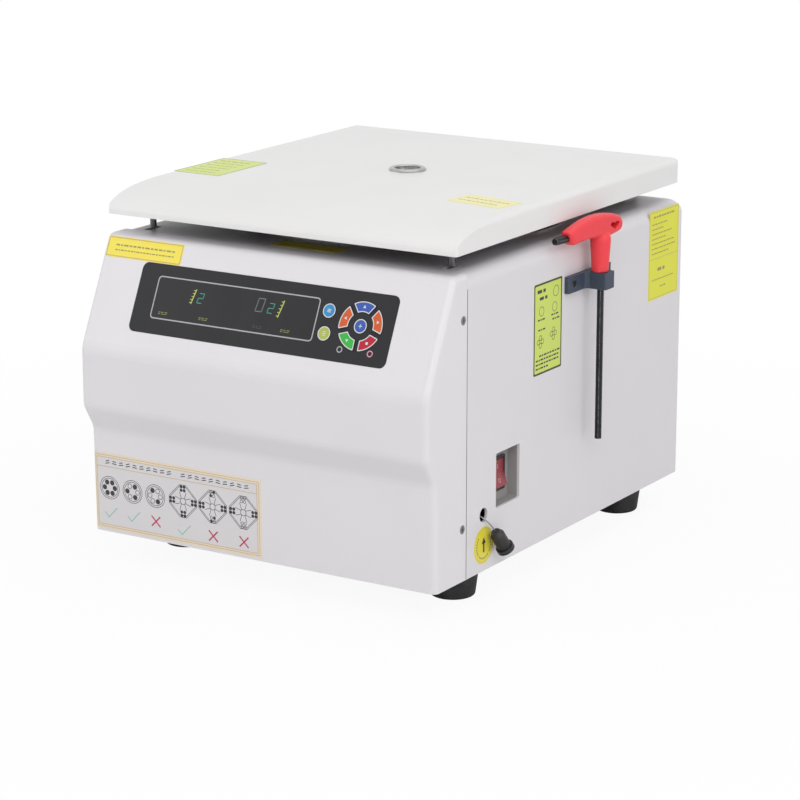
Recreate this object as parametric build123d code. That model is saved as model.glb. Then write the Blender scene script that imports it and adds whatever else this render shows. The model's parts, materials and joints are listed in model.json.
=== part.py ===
"""Benchtop laboratory centrifuge: a painted case on rubber feet with a hinged lid and a rotor chamber.

Axes while modelling: X to the user's right from the middle of the case, Y from the lower front
face to the back, Z up from the surface that the feet stand on. Lengths are millimetres. The
finished pieces are moved together so that the origin is under the middle of the whole object.
"""
import math
import os

from build123d import *

# Case
CASE_WIDTH = 360.0
CASE_DEPTH = 445.0
CASE_HEIGHT = 268.0
SHEET = 2.5
EDGE_R = 14.0
BACK_EDGE_R = 12.0
SEAM_Y = 50.0
SEAM_GAP = 0.3
FIT = 0.3

# Front moulding
FASCIA_WALL = 3.0
BULGE = 15.0
STEP_LOW_Z = 126.0
STEP_HIGH_Z = 148.0
SLOPE_FOOT_Z = 203.0
SLOPE_ANGLE = 25.2
FACE_LEAN = 1.8
STEP_R = 16.0
BROW_R = 30.0
CREST_R = 8.0
FASCIA_CORNER_R = 6.0
TONGUE_LENGTH = 12.0
CHEEK_SCREW_Y = 43.5
CHEEK_SCREW_Z = (76.4, 258.5)

# Control area, measured on the sloping face from its foot
OVERLAY_HEIGHT = 62.7
OVERLAY_U = 51.6
OVERLAY_LEFT = 19.5
OVERLAY_RIGHT = 10.6
OVERLAY_R = 6.0
OVERLAY_THICK = 0.8
OVERLAY_PROUD = 0.2
WINDOW_WIDTH = 170.0
WINDOW_HEIGHT = 38.6
WINDOW_X = -28.0
WINDOW_U = 53.2
WINDOW_R = 3.0
WINDOW_LEDGE = 3.0
ROUND_KEY_R = 6.3
ROUND_KEY_OFFSET = 10.5
ROUND_KEY_U = (42.6, 62.6)
PAD_OFFSET = 33.7
PAD_U = 53.1
PAD_R = 21.7
PAD_INNER_R = 12.2
PAD_GAP = 2.4
PAD_CORNER_R = 0.7
RING_KEYS = 5
KEY_GAP = 0.25
KEY_PROUD = 0.5
KEY_DEPTH = 1.3
KEY_TRAVEL = 0.5
MAT_THICK = 1.5
MAT_MARGIN = 0.6
DOME_R = 2.5
BOARD_BACK = 8.0
BOARD_THICK = 1.6
BOARD_INSET = 2.0
BOARD_POST_R = 3.0

# Side pocket for the mains switch
POCKET_Y = 120.15
POCKET_Z = 105.5
POCKET_WIDTH = 40.7
POCKET_HEIGHT = 49.0
POCKET_DEPTH = 12.0
POCKET_R = 1.5
TRAY_WALL = 1.5
TRAY_FLANGE = 5.0
BEZEL_WIDTH = 25.0
BEZEL_HEIGHT = 31.0
BEZEL_THICK = 2.0
BEZEL_LIP = 2.0
BEZEL_CORNER_R = 1.0
SWITCH_BODY_DEPTH = 20.0
SWITCH_BLADE_Y = 6.0
SWITCH_BLADE_LENGTH = 8.0
SWITCH_BLADE_WIDTH = 6.0
SWITCH_BLADE_THICK = 0.8
ROCKER_TILT = 10.0
ROCKER_PIVOT_DEPTH = 3.0
ROCKER_PIN_R = 1.5
ROCKER_CREST = 4.9
ROCKER_BELLY = 0.45
ROCKER_EDGE_R = 0.6
PIN_FIT = 0.05

# Emergency release
RELEASE_Y = 78.9
RELEASE_Z = 80.4
RELEASE_HOLE_R = 6.5
WIRE_R = 0.6
WIRE_ROUTE = [
    (145.0, 75.0, 92.1),
    (157.0, 76.1, 87.2),
    (169.0, 77.6, 82.3),
    (180.5, 79.6, 76.8),
    (186.3, 82.8, 70.7),
    (187.5, 86.6, 64.9),
]
PLUG_R = 6.3
PLUG_TIP_R = 4.0
PLUG_TIP_LENGTH = 4.0
PLUG_BODY_LENGTH = 14.5
PLUG_FLANGE_R = 8.0
PLUG_FLANGE_LENGTH = 4.0
FERRULE_R = 3.2
FERRULE_LENGTH = 5.0

# Hex key and its clip
KEY_X = 195.0
KEY_Y = 257.0
HEX_SIZE = 6.0
HEX_BEND_R = 8.0
HEX_LONG_END_Z = 109.5
HEX_ARM_Z = 302.0
HEX_SHORT_REACH = 74.0
HEX_TURN = 5.0
GRIP_THICK = 13.0
GRIP_EDGE_R = 4.0
GRIP_OUTLINE = [
    (-64.0, 6.0, 3.0),
    (-59.0, 8.5, 4.0),
    (-30.0, 15.0, 30.0),
    (-8.0, 16.0, 30.0),
    (22.0, 13.0, 8.0),
    (34.0, 7.0, 6.0),
    (34.0, -6.0, 5.0),
    (18.0, -10.0, 6.0),
    (-18.0, -10.0, 6.0),
    (-44.0, -8.0, 10.0),
    (-62.0, -6.0, 3.0),
]
GRIP_EYE_Y = 22.0
GRIP_EYE_RISE = 1.5
GRIP_EYE_LOBE = 2.4
GRIP_EYE_LOBE_R = 2.9
GRIP_EYE_POINT = 6.2
GRIP_EYE_LEAN = 15.0
STEM_TOP_R = 9.2
STEM_FOOT_R = 7.0
CLIP_Z = 248.5
CLIP_HEIGHT = 15.0
CLIP_EAR_THICK = 4.5
CLIP_EAR_REACH = 39.5
CLIP_BLOCK_WIDTH = 17.0
CLIP_BLOCK_REACH = 24.5
CLIP_EDGE_R = 1.5
CLIP_NECK = 2.0
CLIP_NECK_R = 3.0
CLIP_HOLE_R = 4.0
CLIP_SCREW_OFFSET = 29.4

# Feet
FOOT_HEIGHT = 30.0
FOOT_X = 143.0
FOOT_Y = (89.6, 394.1)
FOOT_TOP_R = 23.8
FOOT_SOLE_R = 19.8
FOOT_SOLE_EDGE_R = 3.0
FOOT_SCREW_R = 2.5
FOOT_SCREW_HEAD_R = 5.0
FOOT_SCREW_HEAD = 4.0
FOOT_SCREW_END = 7.0
FOOT_NUT = 4.0
FOOT_RECESS = 14.0

# Lid
LID_WIDTH = 360.6
LID_FRONT = 31.2
LID_BACK = 436.0
LID_GAP = 16.5
LID_HEIGHT = 23.5
LID_SHEET = 1.5
LID_ROLL_DEPTH = 94.0
LID_ROLL_HEIGHT = 20.0
LID_CORNER_R = 12.0
LID_EDGE_R = 6.0
PLATE_RISE = 1.0
PLATE_THICK = 2.0
LID_SCREW_INSET = 30.0
LID_SCREW_LENGTH = 10.0
LID_POST_R = 4.0
STRIKER_X = 155.5
STRIKER_Y = 65.0
STRIKER_R = 1.8
STRIKER_FLANGE_R = 5.0
STRIKER_HEAD_R = 3.0
STRIKER_HEAD = 5.0
SLOT_LENGTH = 21.0
SLOT_WIDTH = 7.0

# Sight port over the rotor
PORT_FLANGE_R = 17.0
PORT_SLEEVE_R = 13.5
PORT_BORE_R = 12.0
PORT_LEDGE = 1.5
PORT_PROUD = 2.5
GLASS_THICK = 4.0

# Lid hinges
HINGE_X = 110.0
HINGE_Y = 432.0
HINGE_Z_ABOVE_DECK = 8.5
HINGE_WIDTH = 60.0
KNUCKLE_R = 5.5
HINGE_PIN_R = 3.0
LEAF_LENGTH = 26.0
LEAF_THICK = 2.5
KNUCKLE_GAP = 0.4

# Lid lock under the deck
LOCK_BAR_DROP = 11.5
LOCK_BAR_THICK = 2.5
LOCK_BAR_WIDTH = 22.0
LOCK_CORNER_R = 1.5
LOCK_TRAVEL = 7.0
LOCK_CLEAR = 4.6
FORK_FIT = 0.4
FORK_END = 6.5
LOCK_ARM_X = 163.5
LOCK_ARM_Y = (70.0, 86.0)
LOCK_ARM_THICK = 2.0
LOCK_ARM_FOOT = 7.0
ARM_SLOT_WIDTH = 5.0
WIRE_PLAY = 1.0
GUIDE_X = 100.0
GUIDE_WIDTH = 12.0
GUIDE_WALL = 4.0
SOLENOID_X = (-60.0, -10.0)
SOLENOID_HEIGHT = 24.0
SOLENOID_GAP = 3.0
SOLENOID_BORE = 20.0
SOLENOID_PLATE = 2.0
PLUNGER_R = 4.0
PLUNGER_DEPTH = 10.0
PLUNGER_LUG_X = 20.0
PLUNGER_LUG_WIDTH = 14.0
PLUNGER_LUG_FOOT = 3.0

# Rotor chamber
CHAMBER_Y = 245.0
BOWL_R = 132.0
BOWL_SHEET = 1.5
BOWL_DEPTH = 145.0
BOWL_FLOOR_R = 20.0
BOWL_FLANGE = 16.0
BOWL_NECK_R = 24.0
GASKET_INSET = 1.5
GASKET_EDGE = 0.5
GASKET_LIP_INSET = 6.0
GASKET_LIP = 3.0
GASKET_LIP_ROOT = 1.0
GASKET_BASE_HEIGHT = 3.5

# Rotor
ROTOR_LIFT = 12.0
ROTOR_R = 105.0
ROTOR_HEIGHT = 78.0
ROTOR_RIM_R = 80.0
ROTOR_SKIRT = 22.0
ROTOR_FOOT_R = 96.0
ROTOR_EDGE = 1.5
DISH_R = 74.0
HUB_R = 30.0
HUB_STEP = 6.0
POCKET_COUNT = 6
POCKET_TILT = 30.0
TUBE_R = 14.75
TUBE_DEPTH = 62.0
TUBE_MOUTH_R = 52.0
HUB_BORE_R = 9.0
NUT_HEAD_R = 12.0
NUT_HEAD_HEIGHT = 10.0
NUT_EDGE = 1.0
NUT_SOCKET_DEPTH = 8.0
NUT_THREAD_R = 5.0
NUT_THREAD_LENGTH = 18.0

# Motor
MOTOR_R = 60.0
MOTOR_PLATE_SIDE = 190.0
MOTOR_PLATE_THICK = 4.0
MOUNT_R = 12.5
MOUNT_HEIGHT = 26.0
MOUNT_OFFSET = 78.0
MOTOR_HEIGHT = 74.0
MOTOR_CAP_HEIGHT = 8.0
MOTOR_FIN_COUNT = 24
MOTOR_FIN_DEPTH = 3.0
MOTOR_GROOVE = 4.0
MOTOR_NECK_GAP = 2.0
MOUNT_BAND = 4.0
SPINDLE_R = 8.0
SPINDLE_GAP = 1.0
SPINDLE_SEAT_R = 20.0
SPINDLE_SEAT = 4.0
BEARING_R = 16.0
BEARING_HEIGHT = 9.0

# Back and base
PAN_FLANGE = 14.0
PAN_SHEET = 2.0
BACK_OPENING = (300.0, 210.0)
BACK_OPENING_Z = 160.0
BACK_LAP = 10.0
BACK_PLATE = 1.5
FAN_X = 85.0
FAN_Z = 150.0
FAN_SIDE = 92.0
FAN_CORNER_R = 5.0
FAN_DEPTH = 25.0
FAN_STRUT = 3.0
FAN_STRUT_WIDTH = 4.0
FAN_AXLE_R = 2.0
FAN_AXLE_LENGTH = 18.0
FAN_HUB_EDGE_R = 2.0
FAN_ROOT = 2.0
FAN_BORE_R = 43.0
FAN_HUB_R = 17.0
FAN_BLADES = 7
FAN_TIP_GAP = 1.5
FAN_BLADE_THICK = 1.6
FAN_BLADE_PITCH = 38.0
VENT_SLOT = 4.0
VENT_PITCH = 9.0
FLOOR_VENTS = 6
FLOOR_VENT_LENGTH = 60.0
FLOOR_VENT_START = 20.0
INLET_X = -95.0
INLET_Z = 105.0
INLET_FLANGE = (50.0, 31.0)
INLET_FLANGE_THICK = 3.0
INLET_CORNER = 4.0
INLET_BODY = (31.0, 24.0)
INLET_MOUTH = (24.6, 16.8)
INLET_DEPTH = 20.0
INLET_RECESS = 16.0
INLET_PINS = [(-7.0, -2.0), (0.0, 2.0), (7.0, -2.0)]
INLET_PIN = (2.0, 4.0)
INLET_PIN_SHORT = 4.0
DRIVE_X = (-165.0, -94.0)
DRIVE_Y = (130.0, 330.0)
DRIVE_RISE = 12.0
DRIVE_BOARD_THICK = 1.6
DRIVE_POST_R = 3.0
DRIVE_POST_INSET = 5.0
SINK_WIDTH = 35.5
SINK_Y = (142.0, 250.0)
SINK_BASE = 4.4
FIN_HEIGHT = 30.0
FIN_PITCH = 9.0
FIN_THICK = 2.5
CAPACITOR_R = 12.0
CAPACITOR_HEIGHT = 33.4
CAPACITOR_Y = (268.0, 300.0)

# Screws
SCREW_R = 2.0
SCREW_FIT = 0.25
SCREW_HEAD_R = 4.0
SCREW_HEAD = 2.4
SCREW_GRIP = 3.0
PAN_HEAD_EDGE_R = 1.0
PAN_SCREW_LENGTH = 6.0
CROSS_WIDTH = 1.0
CROSS_DEPTH = 0.8

# Worked out
HALF = CASE_WIDTH / 2
BASE_Z = FOOT_HEIGHT
DECK_Z = BASE_Z + CASE_HEIGHT
DECK_UNDER = DECK_Z - SHEET
LID_Z = DECK_Z + LID_GAP
LID_TOP = LID_Z + LID_HEIGHT
PLATE_Z = LID_Z + PLATE_RISE
PLATE_TOP = PLATE_Z + PLATE_THICK
HINGE_Z = DECK_Z + HINGE_Z_ABOVE_DECK
SLOPE_RISE = DECK_Z - SLOPE_FOOT_Z
CREST_Y = -BULGE + SLOPE_RISE * math.tan(math.radians(SLOPE_ANGLE))
LOCK_BAR_TOP = DECK_Z - LOCK_BAR_DROP
LOCK_BAR_UNDER = LOCK_BAR_TOP - LOCK_BAR_THICK
BOWL_TOP = DECK_Z + BOWL_SHEET
BOWL_FLOOR = DECK_Z - BOWL_DEPTH
ROTOR_Z = BOWL_FLOOR + ROTOR_LIFT
DISH_SLOPE = math.tan(math.radians(POCKET_TILT))
HUB_TOP = ROTOR_Z + ROTOR_HEIGHT - (DISH_R - HUB_R) * DISH_SLOPE
PAN_TOP = BASE_Z + PAN_SHEET
MOTOR_PLATE_Z = PAN_TOP + MOUNT_HEIGHT
MOTOR_Z = MOTOR_PLATE_Z + MOTOR_PLATE_THICK
MOTOR_TOP = MOTOR_Z + MOTOR_HEIGHT
POCKET_FLOOR_X = HALF - POCKET_DEPTH
BACK_Y = CASE_DEPTH
ROUND_KEY_X = WINDOW_X + WINDOW_WIDTH / 2 + ROUND_KEY_OFFSET
PAD_X = ROUND_KEY_X + PAD_OFFSET
OVERLAY_X0 = WINDOW_X - WINDOW_WIDTH / 2 - OVERLAY_LEFT
OVERLAY_X1 = PAD_X + PAD_R + OVERLAY_RIGHT
OVERLAY_WIDTH = OVERLAY_X1 - OVERLAY_X0
OVERLAY_X = (OVERLAY_X0 + OVERLAY_X1) / 2
BOWL_FLANGE_R = BOWL_R + BOWL_FLANGE
LOCK_BAR_FRONT = STRIKER_Y - LOCK_BAR_WIDTH / 2
LOCK_BAR_BACK = STRIKER_Y + LOCK_BAR_WIDTH / 2

# The sloping control face: X along the face, its own Y up the slope, its own Z outwards
lean = math.radians(SLOPE_ANGLE)
SLOPE = Plane(
    origin=(0, -BULGE, SLOPE_FOOT_Z),
    x_dir=(1, 0, 0),
    z_dir=(0, -math.cos(lean), math.sin(lean)),
)


def block(x0, x1, y0, y1, z0, z1):
    """A box between two corners."""
    return Pos((x0 + x1) / 2, (y0 + y1) / 2, (z0 + z1) / 2) * Box(x1 - x0, y1 - y0, z1 - z0)


def post(radius, x, y, z0, z1):
    """An upright cylinder."""
    return Pos(x, y, (z0 + z1) / 2) * Cylinder(radius, z1 - z0)


def crossbar(radius, x0, x1, y, z):
    """A cylinder along X."""
    return Pos((x0 + x1) / 2, y, z) * Rot(0, 90, 0) * Cylinder(radius, x1 - x0)


def lengthwise(radius, x, y0, y1, z):
    """A cylinder along Y."""
    return Pos(x, (y0 + y1) / 2, z) * Rot(90, 0, 0) * Cylinder(radius, y1 - y0)


def along_x(face, x0, x1):
    """Extrude a profile drawn as (y, z)."""
    return extrude(Plane((x0, 0, 0), x_dir=(0, 1, 0), z_dir=(1, 0, 0)) * face, amount=x1 - x0)


def along_y(face, y0, y1):
    """Extrude a profile drawn as (x, z)."""
    return extrude(Plane((0, y1, 0), x_dir=(1, 0, 0), z_dir=(0, -1, 0)) * face, amount=y1 - y0)


def along_z(face, z0, z1):
    """Extrude a profile drawn as (x, y)."""
    return extrude(Pos(0, 0, z0) * face, amount=z1 - z0)


def outline(corners):
    """A face through corners given as (x, y, radius), rounded where the radius is above zero."""
    face = make_face(Polyline(*[(x, y) for x, y, _ in corners], close=True))
    for x, y, radius in corners:
        if radius > 0:
            face = fillet(face.vertices().sort_by_distance((x, y, 0))[0], radius)
    return face


def turned(points, x, y):
    """Revolve a profile of (radius, z) points about an upright axis."""
    face = Plane.XZ * make_face(Polyline(*points, close=True))
    return Pos(x, y, 0) * revolve(face, axis=Axis.Z)


def arch(half_width, z0, z1, radius):
    """A profile in (x, z) with its two upper corners rounded."""
    return outline([
        (-half_width, z0, 0),
        (half_width, z0, 0),
        (half_width, z1, radius),
        (-half_width, z1, radius),
    ])


def countersunk(length):
    """A cross-head screw pointing down from a head whose face is at the origin."""
    head = Pos(0, 0, -SCREW_HEAD / 2) * Cone(SCREW_R, SCREW_HEAD_R, SCREW_HEAD)
    shank = Pos(0, 0, -length / 2) * Cylinder(SCREW_R, length)
    cross = Box(SCREW_HEAD_R * 1.1, SCREW_HEAD_R / 4, SCREW_HEAD / 2)
    return head + shank - cross - Rot(0, 0, 90) * cross


def countersink():
    """The seat that such a screw needs, opening upwards at the origin."""
    seat = Pos(0, 0, -SCREW_HEAD / 2) * Cone(SCREW_R, SCREW_HEAD_R, SCREW_HEAD)
    return seat + Pos(0, 0, -SCREW_HEAD * 2) * Cylinder(SCREW_R + SCREW_FIT, SCREW_HEAD * 4)


def side_places():
    """Where the four cheek screws sit, as locations whose Z points out of the case."""
    places = []
    for z in CHEEK_SCREW_Z:
        places.append(Pos(HALF, CHEEK_SCREW_Y, z) * Rot(0, 90, 0))
        places.append(Pos(-HALF, CHEEK_SCREW_Y, z) * Rot(0, -90, 0))
    return places


def group(shapes):
    """Separate solids that share one node."""
    return Compound([solid for shape in shapes for solid in shape.solids()])


def case_block(inset, y0, z0):
    """The case behind the seam, drawn in by inset, with its top edges rounded."""
    across = arch(HALF - inset, z0, DECK_Z - inset, EDGE_R - inset)
    side = outline([
        (y0, z0, 0),
        (BACK_Y - inset, z0, 0),
        (BACK_Y - inset, DECK_Z - inset, BACK_EDGE_R - inset),
        (y0, DECK_Z - inset, 0),
    ])
    return along_y(across, y0, BACK_Y - inset) & along_x(side, inset - HALF, HALF - inset)


def striker_slot(x):
    """The slot in the deck that a lid striker passes through."""
    slot = Pos(x, STRIKER_Y) * RectangleRounded(SLOT_WIDTH, SLOT_LENGTH, SLOT_WIDTH / 3)
    return along_z(slot, DECK_UNDER - FIT, DECK_Z + FIT)


def back_opening(grow):
    """The opening in the back wall, larger all round by grow."""
    width = BACK_OPENING[0] + 2 * grow
    height = BACK_OPENING[1] + 2 * grow
    return Pos(0, BACK_OPENING_Z) * RectangleRounded(width, height, POCKET_R + grow / 2)


def back_screw_places():
    """Locations of the screws round the back panel, Z pointing backwards."""
    reach_x = (BACK_OPENING[0] + BACK_LAP) / 2
    reach_z = (BACK_OPENING[1] + BACK_LAP) / 2
    places = []
    for x in (-reach_x, 0, reach_x):
        for z in (BACK_OPENING_Z - reach_z, BACK_OPENING_Z + reach_z):
            places.append(Pos(x, BACK_Y + BACK_PLATE, z) * Rot(-90, 0, 0))
    return places


def clip_screw_places():
    """Locations of the two screws of the hex key's clip, Z pointing out of the case."""
    middle = CLIP_Z + CLIP_HEIGHT / 2
    out = HALF + CLIP_EAR_THICK
    return [Pos(out, KEY_Y + side * CLIP_SCREW_OFFSET, middle) * Rot(0, 90, 0) for side in (-1, 1)]


def case_shell():
    """Deck, sides and back wall folded from one sheet, with the tongues that carry the front."""
    front = SEAM_Y + SEAM_GAP
    shell = case_block(0, front, BASE_Z) - case_block(SHEET, front - 1, BASE_Z - 1)
    for side in (-1, 1):
        inner = HALF - FASCIA_WALL - FIT
        low = BASE_Z + PAN_FLANGE + PAN_SHEET
        high = DECK_Z - EDGE_R - TONGUE_LENGTH / 2
        tongue = block(inner - SHEET, inner, SEAM_Y - TONGUE_LENGTH, SEAM_Y + TONGUE_LENGTH, low, high)
        weld = block(inner - SHEET, HALF - SHEET, SEAM_Y + 1, SEAM_Y + TONGUE_LENGTH, low, high)
        fold = tongue + weld
        shell += fold if side > 0 else mirror(fold, about=Plane.YZ)
        shell -= striker_slot(side * STRIKER_X)
    shell -= post(BOWL_R + BOWL_SHEET + FIT, 0, CHAMBER_Y, DECK_UNDER - 1, DECK_Z + 1)
    mouth = Pos(POCKET_Y, POCKET_Z) * RectangleRounded(POCKET_WIDTH, POCKET_HEIGHT, POCKET_R)
    shell -= along_x(mouth, HALF - SHEET - 1, HALF + 1)
    shell -= crossbar(RELEASE_HOLE_R, HALF - SHEET - 1, HALF + 1, RELEASE_Y, RELEASE_Z)
    shell -= along_y(back_opening(0), BACK_Y - SHEET - 1, BACK_Y + 1)
    for place in side_places():
        shell -= place * Cylinder(SCREW_R + SCREW_FIT, 6 * FASCIA_WALL)
    for place in clip_screw_places() + back_screw_places():
        shell -= place * Cylinder(SCREW_R + SCREW_FIT, 6 * SHEET)
    return shell


def fascia_outline():
    """The front moulding in side view, as (y, z)."""
    return outline([
        (0, BASE_Z, 0),
        (-FACE_LEAN, STEP_LOW_Z, STEP_R),
        (-BULGE, STEP_HIGH_Z, STEP_R),
        (-BULGE, SLOPE_FOOT_Z, BROW_R),
        (CREST_Y, DECK_Z, CREST_R),
        (SEAM_Y, DECK_Z, 0),
        (SEAM_Y, BASE_Z, 0),
    ])


def fascia_solid(face, half_width, radius):
    """Extrude the side view across the case and round its two outer sides."""
    solid = along_x(face, -half_width, half_width)
    back = face.bounding_box().max.X
    floor = face.bounding_box().min.Y
    rims = [
        edge for edge in solid.edges()
        if abs(abs(edge.center().X) - half_width) < 0.01
        and edge.center().Y < back - 0.01
        and edge.center().Z > floor + 0.01
    ]
    return fillet(rims, radius)


def key_sector(index, grow):
    """One of the five ring keys in plan, larger all round by grow."""
    half_turn = math.pi / RING_KEYS
    middle = 90 - 360 / RING_KEYS * index
    setback = (PAD_GAP / 2 - grow) / math.sin(half_turn)
    across = 2 * PAD_R * math.cos(half_turn)
    rise = 2 * PAD_R * math.sin(half_turn)
    wedge = make_face(Polyline(
        (setback, 0), (setback + across, rise), (setback + across, -rise), close=True))
    ring = Circle(PAD_R + grow) - Circle(PAD_INNER_R - grow)
    sector = fillet((ring & wedge).vertices(), PAD_CORNER_R)
    return Pos(PAD_X, PAD_U) * Rot(0, 0, middle) * sector


def key_plans(grow):
    """Every key in plan by name, larger all round by grow."""
    plans = {
        "round_key_lower": Pos(ROUND_KEY_X, ROUND_KEY_U[0]) * Circle(ROUND_KEY_R + grow),
        "round_key_upper": Pos(ROUND_KEY_X, ROUND_KEY_U[1]) * Circle(ROUND_KEY_R + grow),
        "centre_key": Pos(PAD_X, PAD_U) * Circle(ROUND_KEY_R + grow),
    }
    names = ("ring_key_top", "ring_key_right", "ring_key_lower_right", "ring_key_lower_left",
             "ring_key_left")
    for index, name in enumerate(names):
        plans[name] = key_sector(index, grow)
    return plans


def on_slope(face, low, high):
    """Extrude a plan drawn on the control face between two heights over that face."""
    return SLOPE * along_z(face, low, high)


def overlay_plan(grow):
    """The control overlay in plan."""
    return Pos(OVERLAY_X, OVERLAY_U) * RectangleRounded(
        OVERLAY_WIDTH + 2 * grow, OVERLAY_HEIGHT + 2 * grow, OVERLAY_R + grow)


def window_plan(grow):
    """The display window in plan."""
    return Pos(WINDOW_X, WINDOW_U) * RectangleRounded(
        WINDOW_WIDTH + 2 * grow, WINDOW_HEIGHT + 2 * grow, max(WINDOW_R + grow, WINDOW_R / 3))


def front_panel():
    """The moulded front with its bulge, sloping control face and cheeks that reach the seam."""
    face = fascia_outline()
    panel = fascia_solid(face, HALF, FASCIA_CORNER_R)
    hollow = fascia_solid(offset(face, amount=-FASCIA_WALL), HALF - FASCIA_WALL,
                          FASCIA_CORNER_R - FASCIA_WALL)
    mouth = arch(HALF - FASCIA_WALL, BASE_Z + FASCIA_WALL, DECK_Z - FASCIA_WALL,
                 FASCIA_CORNER_R - FASCIA_WALL)
    panel -= hollow + along_y(mouth, SEAM_Y - 2 * FASCIA_WALL, SEAM_Y + 1)
    floor = OVERLAY_PROUD - OVERLAY_THICK
    panel -= on_slope(overlay_plan(FIT / 2), floor, 1)
    panel -= on_slope(window_plan(-WINDOW_LEDGE), -FASCIA_WALL - 1, 1)
    for plan in key_plans(KEY_GAP).values():
        panel -= on_slope(plan, -FASCIA_WALL - 1, 1)
    for place in side_places():
        panel -= place * countersink()
    return panel


def control_overlay():
    """The dark panel that frames the display window and the keys."""
    plan = overlay_plan(0) - window_plan(FIT / 2)
    for hole in key_plans(KEY_GAP).values():
        plan -= hole
    return on_slope(plan, OVERLAY_PROUD - OVERLAY_THICK, OVERLAY_PROUD)


def display_window():
    """The smoked window over the figures."""
    return on_slope(window_plan(0), OVERLAY_PROUD - OVERLAY_THICK, OVERLAY_PROUD)


def key_cap(plan):
    """A key from its plan."""
    return on_slope(plan, -KEY_DEPTH, KEY_PROUD)


def keypad_mat():
    """The silicone sheet behind the keys with a dome under each."""
    low = min(ROUND_KEY_U[0] - ROUND_KEY_R, PAD_U - PAD_R) - MAT_MARGIN
    high = PAD_U + PAD_R + MAT_MARGIN
    left = ROUND_KEY_X - ROUND_KEY_R - DOME_R
    right = PAD_X + PAD_R + DOME_R
    sheet = Pos((left + right) / 2, (low + high) / 2) * Rectangle(right - left, high - low)
    mat = along_z(sheet, -FASCIA_WALL - MAT_THICK, -FASCIA_WALL)
    rise = -KEY_DEPTH - KEY_TRAVEL - FIT / 3
    for plan in key_plans(0).values():
        middle = plan.center()
        ring = math.hypot(middle.X - PAD_X, middle.Y - PAD_U)
        stretch = (PAD_R + PAD_INNER_R) / 2 / ring if ring > 1 and ring < PAD_R else 1
        x = PAD_X + (middle.X - PAD_X) * stretch
        u = PAD_U + (middle.Y - PAD_U) * stretch
        mat += Pos(x, u, (rise - FASCIA_WALL) / 2) * Cone(DOME_R, DOME_R / 2, rise + FASCIA_WALL)
    return SLOPE * mat


def display_board():
    """The circuit board with its figure modules and switch block, on posts behind the slope."""
    left = WINDOW_X - WINDOW_WIDTH / 2
    right = PAD_X + PAD_R + DOME_R
    low = WINDOW_U - WINDOW_HEIGHT / 2
    high = PAD_U + PAD_R
    under = -BOARD_BACK - BOARD_THICK
    board = block(left, right, low, high, under, -BOARD_BACK)
    deep = WINDOW_HEIGHT / 2 - WINDOW_LEDGE - BOARD_INSET
    module = WINDOW_WIDTH / 5
    for index in (-1, 1):
        middle = WINDOW_X + index * module
        board += block(middle - module / 2, middle + module / 2, WINDOW_U - deep, WINDOW_U + deep,
                       -BOARD_BACK, -FASCIA_WALL)
    mat_left = ROUND_KEY_X - ROUND_KEY_R
    board += block(mat_left, right, low + BOARD_INSET, high - BOARD_INSET, -BOARD_BACK,
                   -FASCIA_WALL - MAT_THICK)
    for x in (left + 2 * BOARD_INSET, mat_left - 2 * BOARD_POST_R):
        board += post(BOARD_POST_R, x, high - BOARD_POST_R, -BOARD_BACK, -FASCIA_WALL)
    return SLOPE * board


def switch_tray():
    """The recessed tray in the side wall that carries the mains switch."""
    outer = Pos(POCKET_Y, POCKET_Z) * RectangleRounded(
        POCKET_WIDTH + 2 * TRAY_WALL, POCKET_HEIGHT + 2 * TRAY_WALL, POCKET_R + TRAY_WALL)
    inner = Pos(POCKET_Y, POCKET_Z) * RectangleRounded(POCKET_WIDTH, POCKET_HEIGHT, POCKET_R)
    flange = Pos(POCKET_Y, POCKET_Z) * RectangleRounded(
        POCKET_WIDTH + 2 * TRAY_FLANGE, POCKET_HEIGHT + 2 * TRAY_FLANGE, POCKET_R + TRAY_WALL)
    face = HALF - SHEET
    tray = along_x(outer, POCKET_FLOOR_X - TRAY_WALL, face)
    tray += along_x(flange, face - TRAY_WALL, face)
    tray -= along_x(inner, POCKET_FLOOR_X, face + 1)
    hole = Pos(POCKET_Y, POCKET_Z) * Rectangle(
        BEZEL_WIDTH - 2 * BEZEL_LIP + 2 * TRAY_WALL, BEZEL_HEIGHT - 2 * BEZEL_LIP + 2 * TRAY_WALL)
    return tray - along_x(hole, POCKET_FLOOR_X - TRAY_WALL - 1, POCKET_FLOOR_X + 1)


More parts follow.
